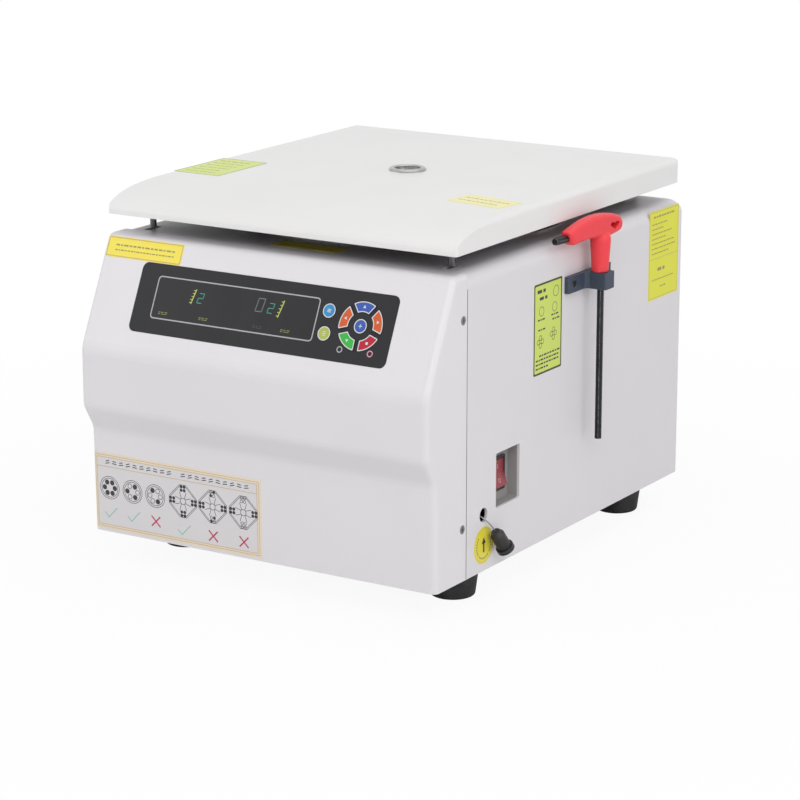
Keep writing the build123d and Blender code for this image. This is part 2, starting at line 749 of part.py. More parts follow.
def power_switch_housing():
    """The snap-in frame that the rocker tips in."""
    bezel = Pos(POCKET_Y, POCKET_Z) * RectangleRounded(
        BEZEL_WIDTH, BEZEL_HEIGHT, BEZEL_CORNER_R)
    width = BEZEL_WIDTH - 2 * BEZEL_LIP
    height = BEZEL_HEIGHT - 2 * BEZEL_LIP
    body = Pos(POCKET_Y, POCKET_Z) * Rectangle(
        width + 2 * TRAY_WALL - FIT, height + 2 * TRAY_WALL - FIT)
    well = Pos(POCKET_Y, POCKET_Z) * Rectangle(width, height)
    face = POCKET_FLOOR_X + BEZEL_THICK
    housing = along_x(bezel, POCKET_FLOOR_X, face)
    housing += along_x(body, POCKET_FLOOR_X - SWITCH_BODY_DEPTH, POCKET_FLOOR_X)
    housing -= along_x(well, face - SWITCH_BODY_DEPTH / 2, face + 1)
    pin = width / 2 + TRAY_WALL / 2
    housing -= lengthwise(ROCKER_PIN_R + PIN_FIT, face - ROCKER_PIVOT_DEPTH, POCKET_Y - pin - FIT,
                          POCKET_Y + pin + FIT, POCKET_Z)
    back = POCKET_FLOOR_X - SWITCH_BODY_DEPTH
    thin = SWITCH_BLADE_THICK / 2
    wide = SWITCH_BLADE_WIDTH / 2
    for y in (POCKET_Y - SWITCH_BLADE_Y, POCKET_Y + SWITCH_BLADE_Y):
        housing += block(back - SWITCH_BLADE_LENGTH, back, y - thin, y + thin,
                         POCKET_Z - wide, POCKET_Z + wide)
    return housing


def power_rocker():
    """The rocker with its valley face and pivot pin, tipped with its upper end in."""
    face = POCKET_FLOOR_X + BEZEL_THICK
    depth = ROCKER_PIVOT_DEPTH
    half = math.sqrt((BEZEL_HEIGHT / 2 - BEZEL_LIP - FIT) ** 2 - ROCKER_CREST ** 2)
    valley = ROCKER_CREST - half * math.tan(math.radians(ROCKER_TILT))
    belly = half * ROCKER_BELLY
    profile = outline([
        (valley, 0, 0),
        (ROCKER_CREST, half, ROCKER_EDGE_R),
        (ROCKER_CREST / 2, half, 0),
        (-depth, belly, ROCKER_EDGE_R),
        (-depth, -belly, ROCKER_EDGE_R),
        (ROCKER_CREST / 2, -half, 0),
        (ROCKER_CREST, -half, ROCKER_EDGE_R),
    ])
    width = BEZEL_WIDTH - 2 * BEZEL_LIP - 2 * FIT
    rocker = along_y(profile, -width / 2, width / 2)
    rocker += lengthwise(ROCKER_PIN_R, 0, -width / 2 - TRAY_WALL / 2, width / 2 + TRAY_WALL / 2, 0)
    return Pos(face - depth, POCKET_Y, POCKET_Z) * Rot(0, -ROCKER_TILT, 0) * rocker


def lid_block(inset, z0):
    """The lid's outer form drawn in by inset and reaching down to z0."""
    front = LID_FRONT + inset
    back = LID_BACK - inset
    top = LID_TOP - inset
    shoulder = LID_TOP - LID_ROLL_HEIGHT
    crown = LID_FRONT + LID_ROLL_DEPTH
    roll = EllipticalCenterArc((crown, shoulder), LID_ROLL_DEPTH - inset, LID_ROLL_HEIGHT - inset,
                               90, arc_size=90)
    rest = Polyline((front, shoulder), (front, z0), (back, z0), (back, top), (crown, top))
    side = make_face([roll, rest])
    corner = side.vertices().sort_by_distance((back, top, 0))[0]
    side = fillet(corner, LID_EDGE_R - inset)
    half = LID_WIDTH / 2 - inset
    across = arch(half, z0, top, LID_EDGE_R - inset)
    plan = Pos(0, (front + back) / 2) * RectangleRounded(2 * half, back - front, LID_CORNER_R - inset)
    return along_x(side, -half, half) & along_y(across, front, back) & along_z(plan, z0, top)


def lid_shell():
    """The lid's pressed cover, rolled over at the front and open below."""
    shell = lid_block(0, LID_Z) - lid_block(LID_SHEET, LID_Z - 1)
    roof = lid_block(LID_SHEET / 2, PLATE_TOP)
    for x, y in lid_screw_places():
        shell += post(LID_POST_R, x, y, PLATE_TOP, LID_TOP) & roof
        shell -= post(SCREW_R, x, y, PLATE_Z, PLATE_Z + LID_SCREW_LENGTH)
    return shell - post(PORT_SLEEVE_R + PIN_FIT, 0, CHAMBER_Y, LID_Z, LID_TOP + 1)


def lid_screw_places():
    """Plan positions of the screws that hold the lid's inner plate."""
    reach = LID_WIDTH / 2 - LID_SCREW_INSET
    return [(x, y) for x in (-reach, reach) for y in (LID_FRONT + LID_SCREW_INSET * 2,
                                                      LID_BACK - LID_SCREW_INSET)]


def lid_plate():
    """The steel plate inside the lid that carries the strikers and the hinge leaves."""
    half = LID_WIDTH / 2 - LID_SHEET - FIT
    front = LID_FRONT + LID_SHEET + FIT
    back = LID_BACK - LID_SHEET - FIT
    plan = Pos(0, (front + back) / 2) * RectangleRounded(
        2 * half, back - front, LID_CORNER_R - LID_SHEET)
    plate = along_z(plan, PLATE_Z, PLATE_TOP)
    plate -= post(PORT_SLEEVE_R + PIN_FIT, 0, CHAMBER_Y, PLATE_Z - 1, PLATE_TOP + 1)
    for x, y in lid_screw_places():
        plate -= post(SCREW_R + SCREW_FIT, x, y, PLATE_Z - 1, PLATE_TOP + 1)
    return plate


def lid_screws():
    """Pan-head screws up through the plate into the cover's posts."""
    screws = []
    for x, y in lid_screw_places():
        head = post(SCREW_HEAD_R, x, y, PLATE_Z - SCREW_HEAD / 2, PLATE_Z)
        socket = post(SCREW_R * 0.7, x, y, PLATE_Z - SCREW_HEAD, PLATE_Z - SCREW_HEAD / 4)
        screws.append(head + post(SCREW_R, x, y, PLATE_Z, PLATE_Z + LID_SCREW_LENGTH) - socket)
    return group(screws)


def sight_ring():
    """The turned ring and sleeve of the sight port."""
    glass_low = LID_TOP - GLASS_THICK
    ledge_r = PORT_BORE_R - PORT_LEDGE
    top = LID_TOP + PORT_PROUD
    return turned([
        (PORT_FLANGE_R, LID_TOP),
        (PORT_FLANGE_R, top - PORT_PROUD / 2),
        (PORT_FLANGE_R - PORT_PROUD / 2, top),
        (PORT_BORE_R + PORT_PROUD / 3, top),
        (PORT_BORE_R, top - PORT_PROUD / 3),
        (PORT_BORE_R, glass_low),
        (ledge_r, glass_low),
        (ledge_r, PLATE_Z),
        (PORT_SLEEVE_R, PLATE_Z),
        (PORT_SLEEVE_R, LID_TOP),
    ], 0, CHAMBER_Y)


def sight_glass():
    """The clear disc on the sleeve's ledge."""
    return post(PORT_BORE_R - FIT / 3, 0, CHAMBER_Y, LID_TOP - GLASS_THICK, LID_TOP)


def lid_strikers():
    """The two lock pins under the lid's front corners, each with a head screwed on its end."""
    pieces = []
    low = LOCK_BAR_UNDER - FIT
    for side in (-1, 1):
        pieces.append(turned([
            (0, PLATE_Z),
            (STRIKER_FLANGE_R, PLATE_Z),
            (STRIKER_FLANGE_R, PLATE_Z - PLATE_THICK / 2),
            (STRIKER_R, PLATE_Z - PLATE_THICK / 2),
            (STRIKER_R, low),
            (0, low),
        ], side * STRIKER_X, STRIKER_Y))
        pieces.append(turned([
            (0, low),
            (STRIKER_HEAD_R, low),
            (STRIKER_HEAD_R, low - STRIKER_HEAD / 2),
            (STRIKER_R, low - STRIKER_HEAD),
            (0, low - STRIKER_HEAD),
        ], side * STRIKER_X, STRIKER_Y))
    return group(pieces)


def hinge_parts():
    """Case brackets, lid leaves and pins of the two lid hinges."""
    third = HINGE_WIDTH / 4
    brackets = []
    leaves = []
    pins = []
    for middle in (-HINGE_X, HINGE_X):
        left = middle - HINGE_WIDTH / 2
        right = middle + HINGE_WIDTH / 2
        inner_left = left + third
        inner_right = right - third
        foot = HINGE_Y - LEAF_LENGTH
        bracket = block(left, right, foot, HINGE_Y, DECK_Z, DECK_Z + LEAF_THICK)
        web = block(left, right, HINGE_Y - KNUCKLE_R, HINGE_Y, DECK_Z, HINGE_Z)
        bracket += web + crossbar(KNUCKLE_R, left, right, HINGE_Y, HINGE_Z)
        bracket -= block(inner_left - KNUCKLE_GAP, inner_right + KNUCKLE_GAP,
                         HINGE_Y - KNUCKLE_R - 2, HINGE_Y + KNUCKLE_R + 1,
                         DECK_Z + LEAF_THICK, HINGE_Z + KNUCKLE_R + 1)
        bracket -= crossbar(HINGE_PIN_R, left - 1, right + 1, HINGE_Y, HINGE_Z)
        brackets.append(bracket)
        leaf = block(inner_left, inner_right, foot, HINGE_Y, PLATE_Z - LEAF_THICK, PLATE_Z)
        leaf += block(inner_left, inner_right, HINGE_Y - LEAF_THICK, HINGE_Y, HINGE_Z, PLATE_Z)
        leaf += crossbar(KNUCKLE_R, inner_left, inner_right, HINGE_Y, HINGE_Z)
        leaf -= crossbar(HINGE_PIN_R + PIN_FIT, left - 1, right + 1, HINGE_Y, HINGE_Z)
        leaves.append(leaf)
        pins.append(crossbar(HINGE_PIN_R, left - 1, right + 1, HINGE_Y, HINGE_Z))
    return group(brackets), group(leaves), group(pins)


def lock_bar():
    """The sliding bar: a plate forked at its left end, the right striker's hook and the arm."""
    seam = STRIKER_X - LOCK_CLEAR
    plate = along_z(outline([
        (-seam, LOCK_BAR_FRONT, LOCK_CORNER_R),
        (seam, LOCK_BAR_FRONT, LOCK_CORNER_R),
        (seam, LOCK_BAR_BACK, 0),
        (-seam, LOCK_BAR_BACK, LOCK_CORNER_R),
    ]), LOCK_BAR_UNDER, LOCK_BAR_TOP)
    plate += block(PLUNGER_LUG_X, PLUNGER_LUG_X + LOCK_BAR_THICK,
                   STRIKER_Y - PLUNGER_LUG_WIDTH / 2, STRIKER_Y + PLUNGER_LUG_WIDTH / 2,
                   solenoid_z() - PLUNGER_R - PLUNGER_LUG_FOOT, LOCK_BAR_UNDER)
    return group([plate - fork_slot(-STRIKER_X), lock_hook(seam), release_arm()])


def lock_hook(seam):
    """The hook welded on the bar's right end, which passes behind the right striker."""
    edge = STRIKER_X + LOCK_CLEAR
    right = STRIKER_X + LOCK_TRAVEL + FORK_END
    hook = along_z(outline([
        (seam, STRIKER_Y + LOCK_CLEAR, 0),
        (edge, STRIKER_Y + LOCK_CLEAR, LOCK_CORNER_R),
        (edge, LOCK_BAR_FRONT, LOCK_CORNER_R),
        (right, LOCK_BAR_FRONT, LOCK_CORNER_R),
        (right, LOCK_BAR_BACK, LOCK_CORNER_R),
        (seam, LOCK_BAR_BACK, 0),
    ]), LOCK_BAR_UNDER, LOCK_BAR_TOP)
    return hook - fork_slot(STRIKER_X)


def fork_slot(x):
    """The slot that takes the striker at x when the bar slides to the left."""
    half = STRIKER_R + FORK_FIT
    return block(x, x + LOCK_TRAVEL + half, STRIKER_Y - half, STRIKER_Y + half,
                 LOCK_BAR_UNDER - 1, LOCK_BAR_TOP + 1)


def release_arm():
    """The arm welded under the hook, with a slot that lets the release wire slide."""
    near = wire_at(LOCK_ARM_X + LOCK_ARM_THICK)
    far = wire_at(LOCK_ARM_X - 2 * LOCK_TRAVEL)
    height = far[2] - near[2] + 2 * (WIRE_R + WIRE_PLAY)
    middle = (near[2] + far[2]) / 2
    arm = block(LOCK_ARM_X, LOCK_ARM_X + LOCK_ARM_THICK, LOCK_ARM_Y[0], LOCK_ARM_Y[1],
                middle - height / 2 - LOCK_ARM_FOOT, LOCK_BAR_UNDER)
    slot = Pos((near[1] + far[1]) / 2, middle) * SlotOverall(height, ARM_SLOT_WIDTH, rotation=90)
    return arm - along_x(slot, LOCK_ARM_X - 1, LOCK_ARM_X + LOCK_ARM_THICK + 1)


def wire_at(x):
    """The point of the release wire's straight route at a given x inside the case."""
    for start, end in zip(WIRE_ROUTE, WIRE_ROUTE[1:]):
        if start[0] <= x <= end[0]:
            share = (x - start[0]) / (end[0] - start[0])
            return tuple(a + share * (b - a) for a, b in zip(start, end))
    return WIRE_ROUTE[0]


def solenoid_z():
    """Height of the solenoid's axis."""
    return LOCK_BAR_UNDER - SOLENOID_GAP - SOLENOID_HEIGHT / 2


def lock_guides():
    """Two slotted blocks under the deck that the lock bar runs in."""
    guides = []
    for middle in (-GUIDE_X, GUIDE_X):
        guide = block(middle - GUIDE_WIDTH / 2, middle + GUIDE_WIDTH / 2,
                      LOCK_BAR_FRONT - GUIDE_WALL, LOCK_BAR_BACK + GUIDE_WALL,
                      LOCK_BAR_UNDER - GUIDE_WALL, DECK_UNDER)
        guide -= block(middle - GUIDE_WIDTH, middle + GUIDE_WIDTH, LOCK_BAR_FRONT - FIT,
                       LOCK_BAR_BACK + FIT, LOCK_BAR_UNDER - FIT, LOCK_BAR_TOP + FIT)
        guides.append(guide)
    return group(guides)


def lock_solenoid():
    """The lock's solenoid with its hanger plate."""
    half = SOLENOID_HEIGHT / 2
    low = solenoid_z() - half
    plate_y = max(STRIKER_Y + half, LOCK_BAR_BACK + 1)
    body = block(SOLENOID_X[0], SOLENOID_X[1], STRIKER_Y - half, plate_y, low, solenoid_z() + half)
    body += block(SOLENOID_X[0], SOLENOID_X[1], plate_y, plate_y + SOLENOID_PLATE, low, DECK_UNDER)
    return body - crossbar(PLUNGER_R + PIN_FIT, SOLENOID_X[1] - SOLENOID_BORE, SOLENOID_X[1] + 1,
                           STRIKER_Y, solenoid_z())


def solenoid_plunger():
    """The plunger between the solenoid and the bar's lug."""
    return crossbar(PLUNGER_R, SOLENOID_X[1] - PLUNGER_DEPTH, PLUNGER_LUG_X, STRIKER_Y, solenoid_z())


def toward(start, end):
    """A plane at start whose Z points to end."""
    direction = Vector(*end) - Vector(*start)
    return Plane(origin=start, z_dir=direction)


def bend_radii(points):
    """The largest tangent arc for each inner point of a route."""
    radii = []
    for before, here, after in zip(points, points[1:], points[2:]):
        run_in = Vector(*here) - Vector(*before)
        run_out = Vector(*after) - Vector(*here)
        turn = math.radians(run_in.get_angle(run_out))
        radii.append(0.45 * min(run_in.length, run_out.length) / math.tan(turn / 2))
    return radii


def release_wire():
    """The steel wire from the lock's arm out through the side hole to the plug."""
    radii = bend_radii(WIRE_ROUTE)
    print("release wire radii", [round(radius, 1) for radius in radii])
    path = FilletPolyline(*WIRE_ROUTE, radius=radii)
    section = toward(WIRE_ROUTE[0], WIRE_ROUTE[1]) * Circle(WIRE_R)
    wire = sweep(section, path=path)
    print("release wire length", round(path.length, 1), "volume share",
          round(wire.volume / (math.pi * WIRE_R ** 2 * path.length), 3))
    return wire


def wire_ferrule():
    """The stop crimped on the wire's inner end."""
    plane = toward(WIRE_ROUTE[0], WIRE_ROUTE[1])
    return plane * (Pos(0, 0, -FERRULE_LENGTH / 2) * Cylinder(FERRULE_R, FERRULE_LENGTH))


def release_plug():
    """The rubber plug on the wire's outer end: chamfered nose, round body, flange."""
    nose = PLUG_TIP_LENGTH
    body = nose + PLUG_BODY_LENGTH
    end = body + PLUG_FLANGE_LENGTH
    profile = make_face(Polyline(
        (0, 0), (PLUG_TIP_R, 0), (PLUG_R, nose), (PLUG_R, body), (PLUG_FLANGE_R, body),
        (PLUG_FLANGE_R, end), (0, end), close=True))
    plug = revolve(Plane.XZ * profile, axis=Axis.Z)
    heading = Vector(*WIRE_ROUTE[-1]) - Vector(*WIRE_ROUTE[-2])
    return Plane(origin=WIRE_ROUTE[-1], z_dir=heading) * plug


def grip_outline():
    """The hex key's grip in side view: x towards the back from the long arm, y as height."""
    return outline([(along, HEX_ARM_Z + rise, radius) for along, rise, radius in GRIP_OUTLINE])


def grip_eye():
    """The heart-shaped eye in the grip, as two lobes over a point."""
    half = GRIP_EYE_LOBE + GRIP_EYE_LOBE_R * math.cos(math.radians(GRIP_EYE_LEAN))
    point = make_face(Polyline((-half, 0), (half, 0), (0, -GRIP_EYE_POINT), close=True))
    eye = point + Pos(-GRIP_EYE_LOBE, 0) * Circle(GRIP_EYE_LOBE_R)
    eye += Pos(GRIP_EYE_LOBE, 0) * Circle(GRIP_EYE_LOBE_R)
    return Pos(GRIP_EYE_Y, HEX_ARM_Z + GRIP_EYE_RISE) * eye


def hex_key_place():
    """Location of the hex key's long arm at the arm's own height zero."""
    return Pos(KEY_X, KEY_Y, 0) * Rot(0, 0, -HEX_TURN)


def hex_key_handle():
    """The moulded grip and stem round the hex key's bend."""
    grip = along_x(grip_outline(), -GRIP_THICK / 2, GRIP_THICK / 2)
    rims = [e for e in grip.edges() if abs(abs(e.center().X) - GRIP_THICK / 2) < 0.01]
    grip = fillet(rims, GRIP_EDGE_R)
    stem_low = CLIP_Z + CLIP_HEIGHT
    stem_high = HEX_ARM_Z
    stem = Pos(0, 0, (stem_low + stem_high) / 2) * Cone(STEM_FOOT_R, STEM_TOP_R,
                                                       stem_high - stem_low)
    handle = grip + stem - along_x(grip_eye(), -GRIP_THICK, GRIP_THICK)
    return hex_key_place() * (handle - hex_key_core())


def hex_key_core():
    """The bent hex bar at the origin's axis."""
    section = RegularPolygon(HEX_SIZE / 2, 6, major_radius=False)
    upright = FilletPolyline(
        (0, 0, HEX_LONG_END_Z), (0, 0, HEX_ARM_Z), (0, -HEX_SHORT_REACH, HEX_ARM_Z),
        radius=HEX_BEND_R)
    return sweep(Pos(0, 0, HEX_LONG_END_Z) * section, path=upright)


def hex_key_blade():
    """The bent hex bar where the clip holds it."""
    return hex_key_place() * hex_key_core()


def key_clip():
    """The moulded clip on the side wall that the hex key's long arm drops into."""
    ear = CLIP_EAR_REACH
    half = CLIP_BLOCK_WIDTH / 2
    shoulder = CLIP_EAR_THICK + 2 * CLIP_NECK
    plan = outline([
        (0, -ear, 0),
        (CLIP_EAR_THICK, -ear, CLIP_EDGE_R),
        (CLIP_EAR_THICK, -half - CLIP_NECK, CLIP_NECK_R),
        (shoulder, -half, CLIP_EDGE_R),
        (CLIP_BLOCK_REACH, -half, CLIP_EDGE_R),
        (CLIP_BLOCK_REACH, half, CLIP_EDGE_R),
        (shoulder, half, CLIP_EDGE_R),
        (CLIP_EAR_THICK, half + CLIP_NECK, CLIP_NECK_R),
        (CLIP_EAR_THICK, ear, CLIP_EDGE_R),
        (0, ear, 0),
    ])
    clip = Pos(HALF, KEY_Y, 0) * along_z(plan, CLIP_Z, CLIP_Z + CLIP_HEIGHT)
    clip -= post(CLIP_HOLE_R, KEY_X, KEY_Y, CLIP_Z - 1, CLIP_Z + CLIP_HEIGHT + 1)
    for place in clip_screw_places():
        clip -= place * countersink()
    return clip


def foot(x, y):
    """A tapered rubber foot with a recess for its screw."""
    solid = Pos(x, y, FOOT_HEIGHT / 2) * Cone(FOOT_SOLE_R, FOOT_TOP_R, FOOT_HEIGHT)
    solid = fillet(solid.edges().sort_by(Axis.Z)[0], FOOT_SOLE_EDGE_R)
    solid -= post(FOOT_SCREW_HEAD_R + FIT, x, y, -1, FOOT_RECESS)
    return solid - post(FOOT_SCREW_R + SCREW_FIT, x, y, -1, FOOT_HEIGHT + 1)


def foot_screws():
    """One screw up through each foot with its nut on the base pan."""
    screws = []
    for x in (-FOOT_X, FOOT_X):
        for y in FOOT_Y:
            head = post(FOOT_SCREW_HEAD_R, x, y, FOOT_RECESS - FOOT_SCREW_HEAD, FOOT_RECESS)
            shank = post(FOOT_SCREW_R, x, y, FOOT_RECESS, PAN_TOP + FOOT_SCREW_END)
            nut = Pos(x, y) * RegularPolygon(FOOT_NUT, 6, major_radius=False)
            screws.append(head + shank + along_z(nut, PAN_TOP, PAN_TOP + FOOT_NUT))
    return group(screws)


def bowl_profile(inset, z_top):
    """The chamber wall and floor as a revolved solid drawn in by inset."""
    radius = BOWL_R + BOWL_SHEET - inset
    floor = BOWL_FLOOR - BOWL_SHEET + inset
    face = outline([
        (0, floor, 0),
        (radius, floor, BOWL_FLOOR_R - inset),
        (radius, z_top, 0),
        (0, z_top, 0),
    ])
    return Pos(0, CHAMBER_Y, 0) * revolve(Plane.XZ * face, axis=Axis.Z)


def chamber_bowl():
    """The drawn steel bowl that hangs in the deck by its flange."""
    bowl = bowl_profile(0, BOWL_TOP)
    bowl += post(BOWL_FLANGE_R, 0, CHAMBER_Y, DECK_Z, BOWL_TOP)
    bowl -= bowl_profile(BOWL_SHEET, BOWL_TOP + 1)
    return bowl - post(BOWL_NECK_R, 0, CHAMBER_Y, BOWL_FLOOR - BOWL_SHEET - 1, BOWL_FLOOR + 1)


def chamber_gasket():
    """The rubber ring round the chamber mouth, with a lip that reaches the lid's plate."""
    base = BOWL_TOP + GASKET_BASE_HEIGHT
    root = base + GASKET_LIP_ROOT
    top = PLATE_Z - FIT
    inner = BOWL_R + GASKET_INSET
    outer = BOWL_FLANGE_R - GASKET_EDGE
    lip = BOWL_R + GASKET_LIP_INSET
    return turned([
        (inner, BOWL_TOP),
        (outer, BOWL_TOP),
        (outer, base),
        (lip + GASKET_LIP, root),
        (lip + GASKET_LIP - GASKET_LIP_ROOT, top),
        (lip, top),
        (lip - GASKET_LIP_ROOT, root),
        (inner, base),
    ], 0, CHAMBER_Y)


def tube_pocket_places():
    """Mouth centres of the tube pockets with Z pointing out of each mouth."""
    mouth_z = ROTOR_Z + ROTOR_HEIGHT - (DISH_R - TUBE_MOUTH_R) * DISH_SLOPE
    places = []
    for index in range(POCKET_COUNT):
        turn = Rot(0, 0, 360 / POCKET_COUNT * index)
        places.append(Pos(0, CHAMBER_Y, 0) * turn * Pos(TUBE_MOUTH_R, 0, mouth_z)
                      * Rot(0, -POCKET_TILT, 0))
    return places


def rotor_body():
    """The fixed-angle rotor: a cone with a dished top and slanting tube pockets."""
    top = ROTOR_Z + ROTOR_HEIGHT
    rotor = turned([
        (HUB_BORE_R, ROTOR_Z),
        (ROTOR_FOOT_R, ROTOR_Z),
        (ROTOR_R, ROTOR_Z + ROTOR_R - ROTOR_FOOT_R),
        (ROTOR_R, ROTOR_Z + ROTOR_SKIRT),
        (ROTOR_RIM_R, top - ROTOR_EDGE),
        (ROTOR_RIM_R - ROTOR_EDGE, top),
        (DISH_R, top),
        (HUB_R, HUB_TOP),
        (HUB_R - HUB_STEP / 2, HUB_TOP + HUB_STEP),
        (HUB_BORE_R, HUB_TOP + HUB_STEP),
    ], 0, CHAMBER_Y)
    for place in tube_pocket_places():
        rotor -= place * (Pos(0, 0, (TUBE_R - TUBE_DEPTH) / 2) * Cylinder(TUBE_R, TUBE_DEPTH + TUBE_R))
    return rotor


def spindle():
    """The motor shaft with the rotor's seat and centring pilot."""
    seat_low = ROTOR_Z - SPINDLE_SEAT
    shaft = post(SPINDLE_R, 0, CHAMBER_Y, MOTOR_Z + MOTOR_CAP_HEIGHT, seat_low)
    shaft += post(SPINDLE_SEAT_R, 0, CHAMBER_Y, seat_low, ROTOR_Z)
    shaft += post(HUB_BORE_R, 0, CHAMBER_Y, ROTOR_Z, HUB_TOP)
    return shaft - post(NUT_THREAD_R, 0, CHAMBER_Y, HUB_TOP - NUT_THREAD_LENGTH, HUB_TOP + 1)


def rotor_nut():
    """The rotor's holding screw with a hexagon socket that takes the hex key."""
    low = HUB_TOP + HUB_STEP
    head = post(NUT_HEAD_R, 0, CHAMBER_Y, low, low + NUT_HEAD_HEIGHT)
    head = chamfer(head.edges().sort_by(Axis.Z)[-1], NUT_EDGE)
    thread = post(NUT_THREAD_R, 0, CHAMBER_Y, HUB_TOP - NUT_THREAD_LENGTH + NUT_EDGE, low)
    socket = Pos(0, CHAMBER_Y, low + NUT_HEAD_HEIGHT - NUT_SOCKET_DEPTH) * RegularPolygon(
        HEX_SIZE / 2 + PIN_FIT, 6, major_radius=False)
    return head + thread - extrude(socket, amount=NUT_SOCKET_DEPTH + 1)


def motor_housing():
    """The motor's finned can, open above for its upper cap."""
    can = post(MOTOR_R, 0, CHAMBER_Y, MOTOR_Z, MOTOR_TOP)
    groove = block(MOTOR_R - MOTOR_FIN_DEPTH, MOTOR_R + 1, -MOTOR_GROOVE / 2, MOTOR_GROOVE / 2,
                   MOTOR_Z + MOTOR_CAP_HEIGHT, MOTOR_TOP - MOTOR_CAP_HEIGHT)
    for index in range(MOTOR_FIN_COUNT):
        can -= Pos(0, CHAMBER_Y, 0) * Rot(0, 0, 360 / MOTOR_FIN_COUNT * index) * groove
    can -= post(SPINDLE_R + SPINDLE_GAP, 0, CHAMBER_Y, MOTOR_Z + MOTOR_CAP_HEIGHT - SPINDLE_GAP,
                MOTOR_TOP + 1)
    for z0 in (MOTOR_Z + 2 * MOTOR_CAP_HEIGHT, MOTOR_TOP - BEARING_HEIGHT):
        can -= post(BEARING_R, 0, CHAMBER_Y, z0, z0 + BEARING_HEIGHT)
    return can


def motor_bearings():
    """The two bearings that the spindle turns in."""
    rings = []
    for z0 in (MOTOR_Z + 2 * MOTOR_CAP_HEIGHT, MOTOR_TOP - BEARING_HEIGHT):
        ring = post(BEARING_R, 0, CHAMBER_Y, z0, z0 + BEARING_HEIGHT)
        rings.append(ring - post(SPINDLE_R + PIN_FIT, 0, CHAMBER_Y, z0 - 1, z0 + BEARING_HEIGHT + 1))
    return group(rings)


def motor_end_cap():
    """The upper end cap with the neck that rises into the bowl's floor."""
    cap = post(MOTOR_R - MOTOR_FIN_DEPTH, 0, CHAMBER_Y, MOTOR_TOP, MOTOR_TOP + MOTOR_CAP_HEIGHT)
    neck_top = ROTOR_Z - SPINDLE_SEAT - MOTOR_NECK_GAP
    cap += post(BOWL_NECK_R - MOTOR_NECK_GAP, 0, CHAMBER_Y, MOTOR_TOP, neck_top)
    return cap - post(SPINDLE_R + SPINDLE_GAP, 0, CHAMBER_Y, MOTOR_TOP - 1, neck_top + 1)


def mount_places():
    """Plan positions of the motor's rubber mounts."""
    return [(x, CHAMBER_Y + y) for x in (-MOUNT_OFFSET, MOUNT_OFFSET)
            for y in (-MOUNT_OFFSET, MOUNT_OFFSET)]


def motor_mounts():
    """The rubber mounts, waisted, between the base pan and the motor plate."""
    mounts = []
    waist = MOUNT_R * 0.75
    middle = (PAN_TOP + MOTOR_PLATE_Z) / 2
    for x, y in mount_places():
        mounts.append(turned([
            (0, PAN_TOP),
            (MOUNT_R, PAN_TOP),
            (MOUNT_R, PAN_TOP + MOUNT_BAND),
            (waist, middle),
            (MOUNT_R, MOTOR_PLATE_Z - MOUNT_BAND),
            (MOUNT_R, MOTOR_PLATE_Z),
            (0, MOTOR_PLATE_Z),
        ], x, y))
    return group(mounts)


def motor_plate():
    """The plate that the motor stands on."""
    plan = Pos(0, CHAMBER_Y) * RectangleRounded(MOTOR_PLATE_SIDE, MOTOR_PLATE_SIDE, MOUNT_R)
    return along_z(plan, MOTOR_PLATE_Z, MOTOR_Z)


def base_pan():
    """The folded floor of the case with a flange up each side and vent slots."""
    half = HALF - SHEET - FIT
    front = SEAM_Y + SEAM_GAP
    back = BACK_Y - SHEET - FIT
    pan = block(-half, half, front, back, BASE_Z, BASE_Z + PAN_FLANGE)
    pan -= block(PAN_SHEET - half, half - PAN_SHEET, front - 1, back - PAN_SHEET,
                 PAN_TOP, BASE_Z + PAN_FLANGE + 1)
    for x in (-FOOT_X, FOOT_X):
        for y in FOOT_Y:
            pan -= post(FOOT_SCREW_R + SCREW_FIT, x, y, BASE_Z - 1, PAN_TOP + 1)
    slot = along_z(SlotOverall(FLOOR_VENT_LENGTH, VENT_SLOT), BASE_Z - 1, PAN_TOP + 1)
    for index in range(FLOOR_VENTS):
        y = CHAMBER_Y - MOUNT_OFFSET + FLOOR_VENT_START + index * 2 * VENT_PITCH
        pan -= Pos(0, y, 0) * slot
    return pan


def back_panel():
    """The back plate with the fan's vent slots and the mains inlet's cut-out."""
    panel = along_y(back_opening(BACK_LAP), BACK_Y, BACK_Y + BACK_PLATE)
    rows = int(FAN_BORE_R * 2 / VENT_PITCH)
    for index in range(rows):
        drop = (index - (rows - 1) / 2) * VENT_PITCH
        length = 2 * math.sqrt(max(FAN_BORE_R ** 2 - drop ** 2, 0)) - VENT_PITCH
        if length > 2 * VENT_SLOT:
            slot = Pos(FAN_X, FAN_Z + drop) * SlotOverall(length, VENT_SLOT)
            panel -= along_y(slot, BACK_Y - 1, BACK_Y + BACK_PLATE + 1)
    hole = Pos(INLET_X, INLET_Z) * Rectangle(INLET_BODY[0] + FIT, INLET_BODY[1] + FIT)
    panel -= along_y(hole, BACK_Y - 1, BACK_Y + BACK_PLATE + 1)
    for place in back_screw_places():
        panel -= place * Cylinder(SCREW_R + SCREW_FIT, 6 * SHEET)
    return panel


def back_screws():
    """Pan-head screws round the back panel."""
    screws = []
    for place in back_screw_places():
        head = Pos(0, 0, SCREW_HEAD / 2) * Cylinder(SCREW_HEAD_R, SCREW_HEAD)
        head = fillet(head.edges().sort_by(Axis.Z)[-1], PAN_HEAD_EDGE_R)
        shank = Pos(0, 0, -PAN_SCREW_LENGTH / 2) * Cylinder(SCREW_R, PAN_SCREW_LENGTH)
        cross = Pos(0, 0, SCREW_HEAD) * Box(SCREW_HEAD_R, CROSS_WIDTH, 2 * CROSS_DEPTH)
        screws.append(place * (head + shank - cross - Rot(0, 0, 90) * cross))
    return group(screws)


